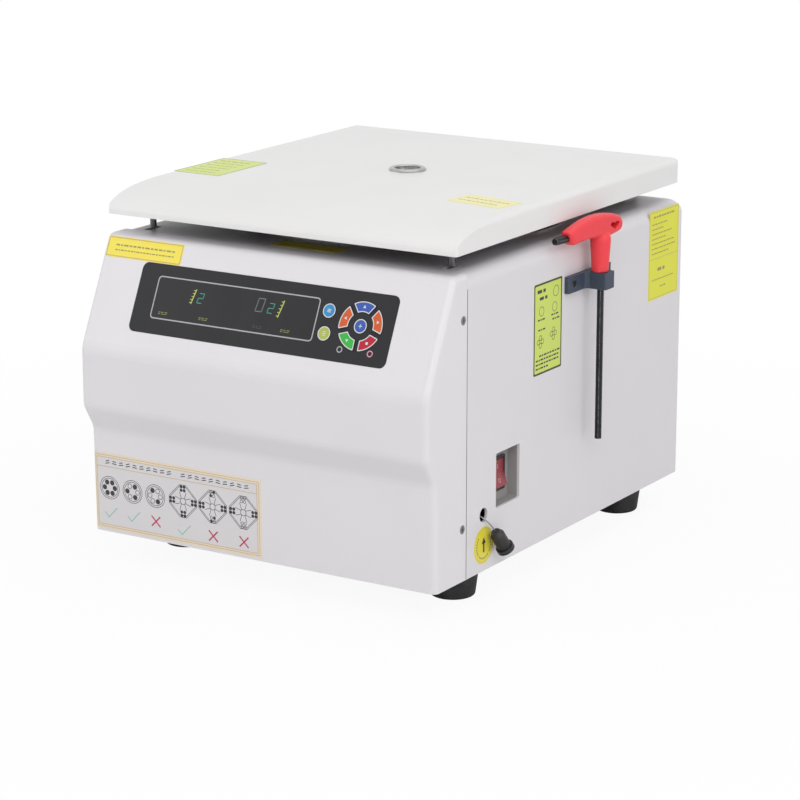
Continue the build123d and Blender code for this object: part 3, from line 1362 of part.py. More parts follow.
def mains_inlet():
    """The three-pin appliance inlet in the back panel."""
    y0 = BACK_Y + BACK_PLATE
    flange = Pos(INLET_X, INLET_Z) * RectangleRounded(*INLET_FLANGE, INLET_CORNER)
    body = Pos(INLET_X, INLET_Z) * Rectangle(*INLET_BODY)
    mouth = Pos(INLET_X, INLET_Z) * Rectangle(*INLET_MOUTH)
    mouth = chamfer(mouth.vertices().group_by(Axis.Y)[-1], INLET_CORNER)
    outer = y0 + INLET_FLANGE_THICK
    inlet = along_y(flange, y0, outer) + along_y(body, y0 - INLET_DEPTH, y0)
    inlet -= along_y(mouth, outer - INLET_RECESS, outer + 1)
    for x, z in INLET_PINS:
        pin = Pos(INLET_X + x, INLET_Z + z) * Rectangle(*INLET_PIN)
        inlet += along_y(pin, outer - INLET_RECESS - 1, outer - INLET_PIN_SHORT)
    return inlet


def fan_frame():
    """The square fan frame with its struts and bearing seat."""
    y0 = BACK_Y - FAN_DEPTH
    seat_y = BACK_Y - FAN_STRUT
    square = Pos(FAN_X, FAN_Z) * RectangleRounded(FAN_SIDE, FAN_SIDE, FAN_CORNER_R)
    frame = along_y(square, y0, BACK_Y) - lengthwise(FAN_BORE_R, FAN_X, y0 - 1, BACK_Y + 1, FAN_Z)
    frame += lengthwise(FAN_HUB_R, FAN_X, seat_y, BACK_Y, FAN_Z)
    half = FAN_STRUT_WIDTH / 2
    strut = block(FAN_HUB_R - 1, FAN_BORE_R + 1, seat_y, BACK_Y, -half, half)
    for index in range(4):
        frame += Pos(FAN_X, 0, FAN_Z) * Rot(0, 45 + 90 * index, 0) * strut
    return frame + lengthwise(FAN_AXLE_R, FAN_X, BACK_Y - 1 - FAN_AXLE_LENGTH, BACK_Y - 1, FAN_Z)


def fan_blades():
    """The fan's hub and its pitched blades."""
    y0 = BACK_Y - FAN_DEPTH + FAN_TIP_GAP
    y1 = BACK_Y - FAN_STRUT - 2 * FIT
    middle = (y0 + y1) / 2
    hub = lengthwise(FAN_HUB_R, FAN_X, y0, y1, FAN_Z)
    hub = fillet(hub.edges().sort_by(Axis.Y)[0], FAN_HUB_EDGE_R)
    reach = FAN_BORE_R - FAN_TIP_GAP
    root = FAN_HUB_R - FAN_ROOT
    blade = Pos(0, middle, (root + reach) / 2) * Rot(0, 0, FAN_BLADE_PITCH) * Box(
        FAN_BLADE_THICK, FAN_DEPTH, reach - root)
    envelope = lengthwise(reach, 0, y0 + 1, y1 - 1, 0)
    for index in range(FAN_BLADES):
        hub += Pos(FAN_X, 0, FAN_Z) * (envelope & Rot(0, 360 / FAN_BLADES * index, 0) * blade)
    return hub - lengthwise(FAN_AXLE_R + PIN_FIT, FAN_X, y0 - 1, y1 + 1, FAN_Z)


def drive_board():
    """The motor drive's circuit board on posts, with its finned heat sink and capacitors."""
    x0, x1 = DRIVE_X
    y0, y1 = DRIVE_Y
    under = PAN_TOP + DRIVE_RISE
    top = under + DRIVE_BOARD_THICK
    drive = block(x0, x1, y0, y1, under, top)
    for x in (x0 + DRIVE_POST_INSET, x1 - DRIVE_POST_INSET):
        for y in (y0 + DRIVE_POST_INSET, y1 - DRIVE_POST_INSET):
            drive += post(DRIVE_POST_R, x, y, PAN_TOP, under)
    sink_top = top + SINK_BASE
    drive += block(x0, x0 + SINK_WIDTH, *SINK_Y, top, sink_top)
    for index in range(int(SINK_WIDTH / FIN_PITCH) + 1):
        fin = x0 + index * FIN_PITCH
        drive += block(fin, fin + FIN_THICK, *SINK_Y, sink_top, sink_top + FIN_HEIGHT)
    for y in CAPACITOR_Y:
        drive += post(CAPACITOR_R, (x0 + SINK_WIDTH + x1) / 2, y, top, top + CAPACITOR_HEIGHT)
    return drive


def front_panel_screws():
    """Countersunk screws in the cheeks of the front panel."""
    length = FASCIA_WALL + FIT + SHEET + SCREW_GRIP
    return group([place * countersunk(length) for place in side_places()])


def key_clip_screws():
    """Countersunk screws in the ears of the hex key's clip."""
    length = CLIP_EAR_THICK + SHEET + SCREW_GRIP
    return group([place * countersunk(length) for place in clip_screw_places()])


def all_pieces():
    """Every node by name."""
    brackets, leaves, pins = hinge_parts()
    pieces = {
        "case_shell": case_shell(),
        "front_panel": front_panel(),
        "control_overlay": control_overlay(),
        "display_window": display_window(),
        "display_board": display_board(),
        "keypad_mat": keypad_mat(),
        "switch_tray": switch_tray(),
        "power_switch_housing": power_switch_housing(),
        "power_rocker": power_rocker(),
        "key_clip": key_clip(),
        "key_clip_screws": key_clip_screws(),
        "front_panel_screws": front_panel_screws(),
        "base_pan": base_pan(),
        "back_panel": back_panel(),
        "back_screws": back_screws(),
        "mains_inlet": mains_inlet(),
        "fan_frame": fan_frame(),
        "fan_blades": fan_blades(),
        "foot_screws": foot_screws(),
        "chamber_bowl": chamber_bowl(),
        "chamber_gasket": chamber_gasket(),
        "motor_mounts": motor_mounts(),
        "motor_plate": motor_plate(),
        "motor_housing": motor_housing(),
        "motor_bearings": motor_bearings(),
        "motor_end_cap": motor_end_cap(),
        "drive_board": drive_board(),
        "lock_guides": lock_guides(),
        "lock_solenoid": lock_solenoid(),
        "hinge_brackets": brackets,
        "hinge_pins": pins,
        "lid_shell": lid_shell(),
        "lid_plate": lid_plate(),
        "lid_screws": lid_screws(),
        "lid_strikers": lid_strikers(),
        "hinge_leaves": leaves,
        "sight_ring": sight_ring(),
        "sight_glass": sight_glass(),
        "spindle": spindle(),
        "rotor_body": rotor_body(),
        "rotor_nut": rotor_nut(),
        "lock_bar": lock_bar(),
        "solenoid_plunger": solenoid_plunger(),
        "release_wire": release_wire(),
        "wire_ferrule": wire_ferrule(),
        "release_plug": release_plug(),
        "hex_key_handle": hex_key_handle(),
        "hex_key_blade": hex_key_blade(),
    }
    for name, plan in key_plans(0).items():
        pieces[name] = key_cap(plan)
    sides = (("left", -FOOT_X), ("right", FOOT_X))
    ends = (("front", FOOT_Y[0]), ("rear", FOOT_Y[1]))
    for end, y in ends:
        for side, x in sides:
            pieces[f"foot_{end}_{side}"] = foot(x, y)
    return pieces


CORD_PIECES = ("release_wire", "wire_ferrule", "release_plug")
pieces = all_pieces()
extents = [shape.bounding_box() for name, shape in pieces.items() if name not in CORD_PIECES]
ORIGIN = Vector(
    (min(box.min.X for box in extents) + max(box.max.X for box in extents)) / 2,
    (min(box.min.Y for box in extents) + max(box.max.Y for box in extents)) / 2,
    0,
)
print("origin in modelling axes", tuple(round(value, 4) for value in ORIGIN))
os.makedirs("parts", exist_ok=True)
for name, shape in pieces.items():
    export_step(Pos(-ORIGIN.X, -ORIGIN.Y, 0) * shape, f"parts/{name}.step")
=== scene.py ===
"""Finishes, labels, display and studio for a benchtop laboratory centrifuge.

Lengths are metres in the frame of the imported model: X to the right seen from the front, Y from the
front to the back, Z up from the bench.
"""
import json
import logging
import math
from dataclasses import dataclass, field
from enum import Enum
from itertools import cycle
from typing import Callable, Iterable, Sequence

import bmesh
import bpy
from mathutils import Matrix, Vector
from mathutils.bvhtree import BVHTree


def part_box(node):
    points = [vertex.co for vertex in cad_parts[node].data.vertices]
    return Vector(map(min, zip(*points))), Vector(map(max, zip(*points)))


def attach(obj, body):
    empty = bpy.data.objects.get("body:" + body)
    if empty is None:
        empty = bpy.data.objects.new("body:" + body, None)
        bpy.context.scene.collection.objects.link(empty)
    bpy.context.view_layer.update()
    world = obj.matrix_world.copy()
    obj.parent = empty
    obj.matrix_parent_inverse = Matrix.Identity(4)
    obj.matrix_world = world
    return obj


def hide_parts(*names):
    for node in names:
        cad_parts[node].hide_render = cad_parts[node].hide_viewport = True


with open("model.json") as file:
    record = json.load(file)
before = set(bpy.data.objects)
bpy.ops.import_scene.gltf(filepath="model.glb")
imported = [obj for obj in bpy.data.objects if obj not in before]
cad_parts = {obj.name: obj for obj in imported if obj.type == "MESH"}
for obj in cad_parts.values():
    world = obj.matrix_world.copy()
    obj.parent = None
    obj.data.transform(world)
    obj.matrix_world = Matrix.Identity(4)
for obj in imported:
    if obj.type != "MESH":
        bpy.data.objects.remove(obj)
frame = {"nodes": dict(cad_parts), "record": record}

LOG = logging.getLogger("centrifuge")
MM = 0.001
BULGE_PROUD = 15.0 * MM
SHARP_ANGLE = math.radians(38)
X_AXIS, Y_AXIS, Z_AXIS = Vector((1, 0, 0)), Vector((0, 1, 0)), Vector((0, 0, 1))
Point = tuple[float, float]
Colour = tuple[float, float, float]


class Term:
    """A shader socket that can be used in arithmetic."""

    def __init__(self, tree: "Tree", socket: bpy.types.NodeSocket) -> None:
        """Keeps the socket and the node tree it belongs to."""
        self.tree = tree
        self.socket = socket

    def _maths(self, operation: str, first: object, second: object) -> "Term":
        """Adds one Math node.

        Args:
            operation: the Math node's operation.
            first: a term or number.
            second: a term or number.

        Returns:
            The node's result.
        """
        return self.tree.node("ShaderNodeMath", {"operation": operation}, {0: first, 1: second})

    def __add__(self, other: object) -> "Term":
        """Adds a term or number."""
        return self._maths("ADD", self, other)

    def __radd__(self, other: object) -> "Term":
        """Adds this to a number."""
        return self._maths("ADD", other, self)

    def __sub__(self, other: object) -> "Term":
        """Takes a term or number away."""
        return self._maths("SUBTRACT", self, other)

    def __rsub__(self, other: object) -> "Term":
        """Takes this away from a number."""
        return self._maths("SUBTRACT", other, self)

    def __mul__(self, other: object) -> "Term":
        """Multiplies by a term or number."""
        return self._maths("MULTIPLY", self, other)

    def __rmul__(self, other: object) -> "Term":
        """Multiplies a number by this."""
        return self._maths("MULTIPLY", other, self)

    def __truediv__(self, other: object) -> "Term":
        """Divides by a term or number."""
        return self._maths("DIVIDE", self, other)

    def __rtruediv__(self, other: object) -> "Term":
        """Divides a number by this."""
        return self._maths("DIVIDE", other, self)


class Tree:
    """A node tree under construction."""

    def __init__(self, tree: bpy.types.NodeTree) -> None:
        """Empties the tree and keeps it."""
        self.tree = tree
        self.tree.nodes.clear()

    def add(self, kind: str, settings: dict[str, object],
            sockets: dict[object, object]) -> bpy.types.Node:
        """Adds any node.

        Args:
            kind: the node's type name.
            settings: properties to set first; "stops" fills a ramp as (place, colour) pairs.
            sockets: values, or terms to link, by socket index or name.

        Returns:
            The new node.
        """
        made = self.tree.nodes.new(kind)
        for name, value in settings.items():
            if name == "stops":
                self._fill_ramp(made.color_ramp, value)
            else:
                setattr(made, name, value)
        for key, value in sockets.items():
            self.feed(made.inputs[key], value)
        return made

    def node(self, kind: str, settings: dict[str, object], sockets: dict[object, object],
             output: object = 0) -> Term:
        """Adds any node and returns one of its outputs.

        Args:
            kind: the node's type name.
            settings: properties to set first.
            sockets: values, or terms to link, by socket index or name.
            output: which output to return, by index or name.

        Returns:
            The chosen output.
        """
        return Term(self, self.add(kind, settings, sockets).outputs[output])

    def feed(self, socket: bpy.types.NodeSocket, value: object) -> None:
        """Gives a socket its value.

        Args:
            socket: the socket to fill.
            value: a term to link, or a plain value.
        """
        if isinstance(value, Term):
            self.tree.links.new(value.socket, socket)
        else:
            socket.default_value = value

    def _fill_ramp(self, ramp: bpy.types.ColorRamp, stops: Sequence[tuple[float, Colour]]) -> None:
        """Replaces a ramp's stops.

        Args:
            ramp: the ramp to fill.
            stops: (place, colour) pairs in order.
        """
        while len(ramp.elements) > 1:
            ramp.elements.remove(ramp.elements[-1])
        for index, (place, colour) in enumerate(stops):
            stop = ramp.elements[0] if index == 0 else ramp.elements.new(place)
            stop.position = place
            stop.color = (*colour, 1.0)


class Shader(Tree):
    """A material under construction, with one Principled surface."""

    def __init__(self, name: str) -> None:
        """Starts a material.

        Args:
            name: the material's name.
        """
        self.material = bpy.data.materials.new(name)
        self.material.use_nodes = True
        super().__init__(self.material.node_tree)
        self.surface = self.add("ShaderNodeBsdfPrincipled", {}, {})
        shown = Term(self, self.surface.outputs[0])
        self.output = self.add("ShaderNodeOutputMaterial", {}, {0: shown})

    def set(self, **values: object) -> None:
        """Sets or links the surface's sockets; underscores stand for spaces."""
        for name, value in values.items():
            self.feed(self.surface.inputs[name.replace("_", " ")], value)

    def place(self) -> Term:
        """The point on the object, in the object's own axes."""
        return self.node("ShaderNodeTexCoord", {}, {}, "Object")

    def across(self, axis: str) -> Term:
        """One coordinate of the point, by the name X, Y or Z."""
        return self.node("ShaderNodeSeparateXYZ", {}, {0: self.place()}, axis)

    def stretched(self, scale: tuple[float, float, float]) -> Term:
        """The point with each axis scaled, for grain that runs one way."""
        return self.node("ShaderNodeVectorMath", {"operation": "MULTIPLY"},
                         {0: self.place(), 1: scale})

    def noise(self, scale: float, detail: float = 2.0, where: Term | None = None) -> Term:
        """Smooth noise about 0.5.

        Args:
            scale: features per metre.
            detail: octaves of finer noise.
            where: the point to read it at; the object's own point if left out.

        Returns:
            The noise value.
        """
        sockets = {"Vector": where or self.place(), "Scale": scale, "Detail": detail}
        return self.node("ShaderNodeTexNoise", {}, sockets, "Fac")

    def pores(self, scale: float) -> Term:
        """Distance to the nearest of scattered points, for pitted or pebbled grain."""
        return self.node("ShaderNodeTexVoronoi", {}, {"Vector": self.place(), "Scale": scale},
                         "Distance")

    def blend(self, amount: object, first: object, second: object) -> Term:
        """Mixes two colours.

        Args:
            amount: 0 for the first, 1 for the second.
            first: colour or term.
            second: colour or term.

        Returns:
            The mixed colour.
        """
        settings = {"data_type": "RGBA", "clamp_factor": True}
        sockets = {0: amount, 6: _rgba(first), 7: _rgba(second)}
        return self.node("ShaderNodeMix", settings, sockets, 2)

    def between(self, value: Term, low: float, high: float) -> Term:
        """Stretches a value so that low gives 0 and high gives 1, clamped."""
        return self.node("ShaderNodeMapRange", {"clamp": True},
                         {"Value": value, "From Min": low, "From Max": high})

    def edges(self, reach: float) -> Term:
        """How sharply the surface turns.

        Args:
            reach: how far from an edge its wear shows, in metres.

        Returns:
            0 on flats and 1 on edges, broken up by noise.
        """
        soft = self.node("ShaderNodeBevel", {"samples": 4}, {"Radius": reach})
        plain = self.node("ShaderNodeNewGeometry", {}, {}, "Normal")
        turn = self.node("ShaderNodeVectorMath", {"operation": "DOT_PRODUCT"}, {0: soft, 1: plain},
                         "Value")
        return self.between(turn, 0.995, 0.86) * self.between(self.noise(240.0, 4.0), 0.25, 0.6)

    def bump(self, height: Term, depth: float, strength: float = 1.0) -> None:
        """Raises the surface's normal.

        Args:
            height: the relief.
            depth: its depth in metres.
            strength: how much of it shows.
        """
        normal = self.node("ShaderNodeBump", {},
                           {"Height": height, "Distance": depth, "Strength": strength})
        self.set(Normal=normal)


def _rgba(colour: object) -> object:
    """A colour with full alpha, or the term itself."""
    return colour if isinstance(colour, Term) else (*colour, 1.0)


def shade(colour: Colour, amount: float) -> Colour:
    """The colour made lighter above 1 or darker below 1."""
    return tuple(min(1.0, part * amount) for part in colour)


@dataclass(frozen=True)
class Finish:
    """What every finish has: a name, a colour, a roughness, how far both drift, and its shine."""

    name: str
    colour: Colour
    roughness: float = 0.5
    drift: float = 0.03
    shine: float = field(default=0.5, kw_only=True)
    worn: float = field(default=0.0, kw_only=True)

    def material(self) -> bpy.types.Material:
        """The finish's material, made once and used again.

        Returns:
            The material.
        """
        label = f"{self.name}_finish"
        found = bpy.data.materials.get(label)
        if found:
            return found
        shader = Shader(label)
        shader.set(Specular_IOR_Level=self.shine)
        self.paint(shader)
        return shader.material

    def wear(self, shader: Shader, colour: Term, bare: Colour) -> Term:
        """Rubs a colour away along the edges.

        Args:
            shader: the material under construction.
            colour: the colour of the flats.
            bare: the colour under it.

        Returns:
            The worn colour, or the same one for a finish that doesn't wear.
        """
        if not self.worn:
            return colour
        return shader.blend(shader.edges(0.0012) * self.worn, colour, bare)

    def paint(self, shader: Shader) -> None:
        """Fills the shader; each finish adds its own grain to this.

        Args:
            shader: the material under construction.
        """
        drift = shader.noise(9.0, 3.0)
        dark = shade(self.colour, 1 - self.drift)
        light = shade(self.colour, 1 + self.drift)
        tone = shader.blend(shader.between(drift, 0.3, 0.7), dark, light)
        shader.set(Base_Color=self.wear(shader, tone, shade(self.colour, 2.2)))
        smear = shader.noise(34.0, 4.0)
        shader.set(Roughness=self.roughness + (smear - 0.5) * 0.18)


@dataclass(frozen=True)
class BakedPaint(Finish):
    """Powder paint baked on sheet steel: faint orange peel and a soft sheen."""

    peel: float = 0.9

    def paint(self, shader: Shader) -> None:
        """Adds the orange peel and scattered nibs.

        Args:
            shader: the material under construction.
        """
        super().paint(shader)
        peel = shader.noise(420.0, 2.0)
        nibs = shader.between(shader.pores(160.0), 0.05, 0.0)
        shader.bump(peel + nibs * 0.35, 0.00006 * self.peel, 0.5)
        shader.set(Coat_Weight=0.12, Coat_Roughness=0.25)


@dataclass(frozen=True)
class Moulded(Finish):
    """Moulded plastic with a fine spark-eroded grain."""

    grain: float = 1400.0
    depth: float = 0.00004

    def paint(self, shader: Shader) -> None:
        """Adds the moulding grain.

        Args:
            shader: the material under construction.
        """
        super().paint(shader)
        shader.bump(shader.pores(self.grain) + shader.noise(self.grain / 3, 3.0), self.depth, 0.5)


@dataclass(frozen=True)
class Rubber(Finish):
    """Matt rubber with a dusty bloom in patches over a pitted grain."""

    bloom: float = 0.3

    def paint(self, shader: Shader) -> None:
        """Adds the bloom and the pitted grain.

        Args:
            shader: the material under construction.
        """
        pits = shader.pores(900.0)
        dust = shader.between(shader.noise(60.0, 5.0), 0.45, 0.75) * self.bloom
        pale = shade(tuple(part + 0.05 for part in self.colour), 1.6)
        tone = shader.blend(dust, self.colour, pale)
        shader.set(Base_Color=self.wear(shader, tone, pale))
        shader.set(Roughness=self.roughness + (shader.noise(90.0, 3.0) - 0.5) * 0.2)
        shader.bump(pits + shader.noise(260.0, 4.0), 0.00009, 0.6)


@dataclass(frozen=True)
class Steel(Finish):
    """Bare or plated metal with a rolled, turned or polished grain."""

    run: tuple[float, float, float] = (1.0, 1.0, 0.04)
    grain: float = 1500.0
    scratch: float = 0.16

    def paint(self, shader: Shader) -> None:
        """Adds streaks along the grain to the colour, the gloss and the relief.

        Args:
            shader: the material under construction.
        """
        streak = shader.noise(self.grain, 4.0, shader.stretched(self.run))
        stain = shader.noise(26.0, 4.0)
        dark = shade(self.colour, 1 - 3 * self.drift)
        tone = shader.blend(shader.between(stain, 0.35, 0.75), self.colour, dark)
        shader.set(Base_Color=self.wear(shader, tone, (0.42, 0.42, 0.43)), Metallic=1.0)
        shader.set(Roughness=self.roughness + (streak - 0.5) * self.scratch)
        shader.bump(streak, 0.00002, 0.35)


@dataclass(frozen=True)
class Gloss(Finish):
    """Glossy film or plastic with faint smears and hair scratches."""

    coat: float = 0.6
    smear: float = 0.12

    def paint(self, shader: Shader) -> None:
        """Adds smears to the gloss and hair scratches to the relief.

        Args:
            shader: the material under construction.
        """
        wipe = shader.noise(48.0, 4.0, shader.stretched((1.0, 0.35, 0.35)))
        drift = shader.noise(12.0, 2.0)
        light = shade(self.colour, 1 + self.drift)
        shader.set(Base_Color=shader.blend(shader.between(drift, 0.3, 0.7), self.colour, light))
        shader.set(Roughness=self.roughness + shader.between(wipe, 0.4, 0.8) * self.smear)
        shader.set(Coat_Weight=self.coat, Coat_Roughness=0.06)
        shader.bump(shader.noise(900.0, 2.0), 0.00001, 0.3)


@dataclass(frozen=True)
class Ink(Finish):
    """Printed paper or film: a slight mottle and a laminated sheen."""

    sheen: float = 0.25

    def paint(self, shader: Shader) -> None:
        """Adds the print's mottle and the film's faint ripple.

        Args:
            shader: the material under construction.
        """
        mottle = shader.noise(700.0, 3.0)
        tone = shader.noise(30.0, 2.0)
        dark = shade(self.colour, 1 - self.drift)
        share = shader.between(mottle * 0.6 + tone * 0.4, 0.35, 0.65)
        shader.set(Base_Color=shader.blend(share, dark, self.colour))
        shader.set(Roughness=self.roughness + (tone - 0.5) * 0.15)
        shader.set(Coat_Weight=self.sheen, Coat_Roughness=0.2)
        shader.bump(shader.noise(90.0, 2.0), 0.00005, 0.3)


@dataclass(frozen=True)
class Lamp(Finish):
    """A lit figure segment: it glows a little unevenly over its length."""

    glow: float = 1.0

    def paint(self, shader: Shader) -> None:
        """Adds the uneven glow.

        Args:
            shader: the material under construction.
        """
        uneven = shader.between(shader.noise(300.0, 2.0), 0.2, 0.8)
        edge = shade(self.colour, 0.7)
        lit = shader.blend(uneven, edge, self.colour)
        shader.set(Base_Color=lit, Roughness=self.roughness)
        shader.set(Emission_Color=lit, Emission_Strength=self.glow)


@dataclass(frozen=True)
class ClearPane(Finish):
    """Clear glass with a faint tint and a trace of dust."""

    def paint(self, shader: Shader) -> None:
        """Adds the dust to the gloss and makes the pane clear.

        Args:
            shader: the material under construction.
        """
        dust = shader.between(shader.noise(160.0, 4.0), 0.55, 0.8)
        shader.set(Base_Color=shader.blend(dust * 0.4, self.colour, (0.8, 0.8, 0.8)))
        shader.set(Roughness=self.roughness + dust * 0.15)
        shader.set(Transmission_Weight=0.85, IOR=1.49)


class Palette(Enum):
    """The finishes of this instrument."""

    CASE_PAINT = BakedPaint("case_paint", (0.74, 0.717, 0.74), 0.42, 0.012, shine=0.45)
    FRONT_PAINT = BakedPaint("front_paint", (0.77, 0.748, 0.775), 0.38, 0.012, 0.6, shine=0.45)
    LID_PAINT = BakedPaint("lid_paint", (0.82, 0.812, 0.805), 0.40, 0.012, 0.8, shine=0.45)
    OVERLAY = Moulded("overlay_film", (0.018, 0.018, 0.020), 0.46, 0.06, 1800.0, 0.00002, shine=0.25)
    WINDOW = Gloss("smoked_window", (0.006, 0.006, 0.008), 0.20, 0.1, 0.02, 0.1, shine=0.25)
    PRINT_GREY = Ink("print_grey", (0.42, 0.41, 0.44), 0.45, 0.05)
    PRINT_WHITE = Ink("print_white", (0.68, 0.68, 0.71), 0.45, 0.03)
    PRINT_PINK = Ink("print_pink", (0.72, 0.30, 0.38), 0.45, 0.05)
    PRINT_DARK = Ink("print_dark", (0.030, 0.030, 0.040), 0.5, 0.1)
    KEY_INDIGO = Gloss("key_indigo", (0.050, 0.110, 0.42), 0.40, 0.08, 0.0, shine=0.25)
    KEY_CYAN = Gloss("key_cyan", (0.040, 0.27, 0.56), 0.40, 0.08, 0.0, shine=0.25)
    KEY_LIME = Gloss("key_lime", (0.42, 0.48, 0.10), 0.40, 0.08, 0.0, shine=0.25)
    KEY_ORANGE = Gloss("key_orange", (0.64, 0.115, 0.032), 0.40, 0.08, 0.0, shine=0.25)
    KEY_GREEN = Gloss("key_green", (0.050, 0.44, 0.065), 0.40, 0.08, 0.0, shine=0.25)
    KEY_CRIMSON = Gloss("key_crimson", (0.48, 0.018, 0.042), 0.40, 0.08, 0.0, shine=0.25)
    LIT_TEAL = Lamp("lit_teal", (0.025, 0.17, 0.13), 0.5, 0.02, 0.8)
    LIT_LIME = Lamp("lit_lime", (0.32, 0.38, 0.07), 0.5, 0.02, 0.8)
    DIM_GREY = Lamp("dim_grey", (0.10, 0.11, 0.11), 0.5, 0.02, 0.7)
    DIM_GREEN = Lamp("dim_green", (0.17, 0.20, 0.05), 0.5, 0.02, 0.7)
    FAINT_GREY = Lamp("faint_grey", (0.030, 0.033, 0.033), 0.5, 0.02, 0.5)
    ZINC = Steel("zinc_plate", (0.66, 0.66, 0.64), 0.34, 0.05, (1.0, 1.0, 1.0), 500.0)
    ROLLED = Steel("rolled_steel", (0.56, 0.57, 0.58), 0.36, 0.05, (0.03, 1.0, 1.0))
    WIRE = Steel("wire_steel", (0.30, 0.30, 0.32), 0.34, 0.05, (1.0, 1.0, 0.2), 900.0)
    STRIKER = Steel("striker_steel", (0.16, 0.16, 0.17), 0.38, 0.05, (1.0, 1.0, 0.05), 900.0)
    BRIGHT = Steel("polished_steel", (0.76, 0.76, 0.77), 0.13, 0.02, (1.0, 1.0, 0.05), 900.0, 0.08)
    STAINLESS = Steel("stainless_bowl", (0.66, 0.66, 0.66), 0.28, 0.03, (1.0, 1.0, 0.02))
    HEX_STEEL = Steel("blackened_steel", (0.040, 0.041, 0.046), 0.40, 0.06, (1.0, 1.0, 0.04), 1100.0,
                      worn=0.8)
    CAST = Steel("cast_aluminium", (0.62, 0.63, 0.65), 0.48, 0.05, (1.0, 1.0, 1.0), 420.0)
    ROTOR = Steel("rotor_anodised", (0.16, 0.17, 0.19), 0.30, 0.05, (1.0, 1.0, 0.05), 1600.0,
                  worn=0.5)
    # The tray's light grey is darkened here: painted shade of the recess that the tray lines.
    TRAY = Moulded("tray_plastic", (0.335, 0.32, 0.32), 0.55, 0.02)
    BLACK_PLASTIC = Moulded("black_plastic", (0.022, 0.022, 0.024), 0.42, 0.1, worn=0.3)
    PORT_RING = Steel("port_ring", (0.42, 0.42, 0.41), 0.30, 0.04, (1.0, 1.0, 0.1), 700.0)
    ROCKER = Gloss("rocker_red", (0.25, 0.014, 0.024), 0.24, 0.1, 0.4, shine=0.35)
    # Dark grey for the lid's inner plate: painted shade, to darken the gap seen under the lid.
    LINER = BakedPaint("lid_liner", (0.10, 0.095, 0.10), 0.5, 0.03)
    CLIP = Moulded("clip_slate", (0.040, 0.055, 0.085), 0.50, 0.06, 900.0, 0.00006, worn=0.5)
    GRIP = Moulded("grip_red", (0.86, 0.045, 0.060), 0.40, 0.05, 700.0, 0.00006)
    FOOT = Rubber("foot_rubber", (0.016, 0.016, 0.017), 0.62, 0.03, worn=0.6)
    PLUG = Rubber("plug_rubber", (0.014, 0.014, 0.015), 0.48, 0.03, 0.15, worn=0.3)
    SEAL = Rubber("seal_rubber", (0.030, 0.030, 0.032), 0.55, 0.03)
    SILICONE = Rubber("keypad_silicone", (0.20, 0.20, 0.21), 0.60, 0.03)
    BOARD = Gloss("solder_mask", (0.020, 0.150, 0.060), 0.35, 0.1, 0.3)
    GLASS = ClearPane("port_glass", (0.62, 0.66, 0.64), 0.04)
    YELLOW = Ink("label_yellow", (0.90, 0.76, 0.07), 0.42, 0.02)
    LEMON = Ink("label_lemon", (0.76, 0.76, 0.03), 0.42, 0.02)
    LABEL_LINE = Ink("label_line", (0.34, 0.27, 0.09), 0.45, 0.05)
    GREY_LINE = Ink("grey_line", (0.30, 0.31, 0.30), 0.45, 0.05)
    YELLOW_GREEN = Ink("label_yellow_green", (0.62, 0.74, 0.12), 0.42, 0.02)
    SOFT_YELLOW = Ink("label_soft_yellow", (0.88, 0.84, 0.38), 0.42, 0.02)
    DEEP_YELLOW = Ink("label_deep_yellow", (0.82, 0.72, 0.05), 0.42, 0.02)
    PEACH = Ink("label_peach", (0.82, 0.72, 0.58), 0.45, 0.03)
    LABEL_GREY = Ink("label_grey", (0.72, 0.695, 0.71), 0.45, 0.02)
    OCHRE = Ink("label_ochre", (0.60, 0.42, 0.17), 0.45, 0.05)
    MARK_TEAL = Ink("mark_teal", (0.22, 0.56, 0.44), 0.45, 0.05)
    MARK_CRIMSON = Ink("mark_crimson", (0.48, 0.025, 0.10), 0.45, 0.05)

    def material(self) -> bpy.types.Material:
        """The material of this finish."""
        return self.value.material()


def dress(node: str, finish: Palette) -> None:
    """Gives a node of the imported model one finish.

    Args:
        node: the node's name.
        finish: its finish.
    """
    thing = frame["nodes"][node]
    thing.data.materials.clear()
    thing.data.materials.append(finish.material())
    LOG.info("dressed %s as %s", node, finish.name.lower())


def front_middle() -> Vector:
    """Finds where the photograph's measurements start.

    Returns:
        The foot of the lower front face on the bench, in the middle of the case.
    """
    low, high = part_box("case_shell")
    front_low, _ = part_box("front_panel")
    return Vector(((low.x + high.x) / 2, front_low.y + BULGE_PROUD, 0.0))


def hand_over(piece: bpy.types.Object, finish: Palette, body: str, node: str) -> None:
    """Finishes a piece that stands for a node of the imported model.

    Args:
        piece: the piece.
        finish: its finish.
        body: the body that it rides on.
        node: the node that it stands for.
    """
    piece.data.materials.clear()
    piece.data.materials.append(finish.material())
    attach(piece, body)
    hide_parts(node)
    LOG.info("made %s in place of %s", piece.name, node)


def circle(x: float, y: float, radius: float, count: int = 48) -> list[Point]:
    """The points of a circle."""
    turns = [2 * math.pi * index / count for index in range(count)]
    return [(x + radius * math.cos(turn), y + radius * math.sin(turn)) for turn in turns]


def quarter_turn(steps: int) -> list[float]:
    """Even angles from 0 to 90 degrees, in radians."""
    return [math.radians(90) * step / steps for step in range(steps + 1)]


def rectangle(x0: float, x1: float, y0: float, y1: float) -> list[Point]:
    """The corners of a rectangle, anticlockwise."""
    return [(x0, y0), (x1, y0), (x1, y1), (x0, y1)]


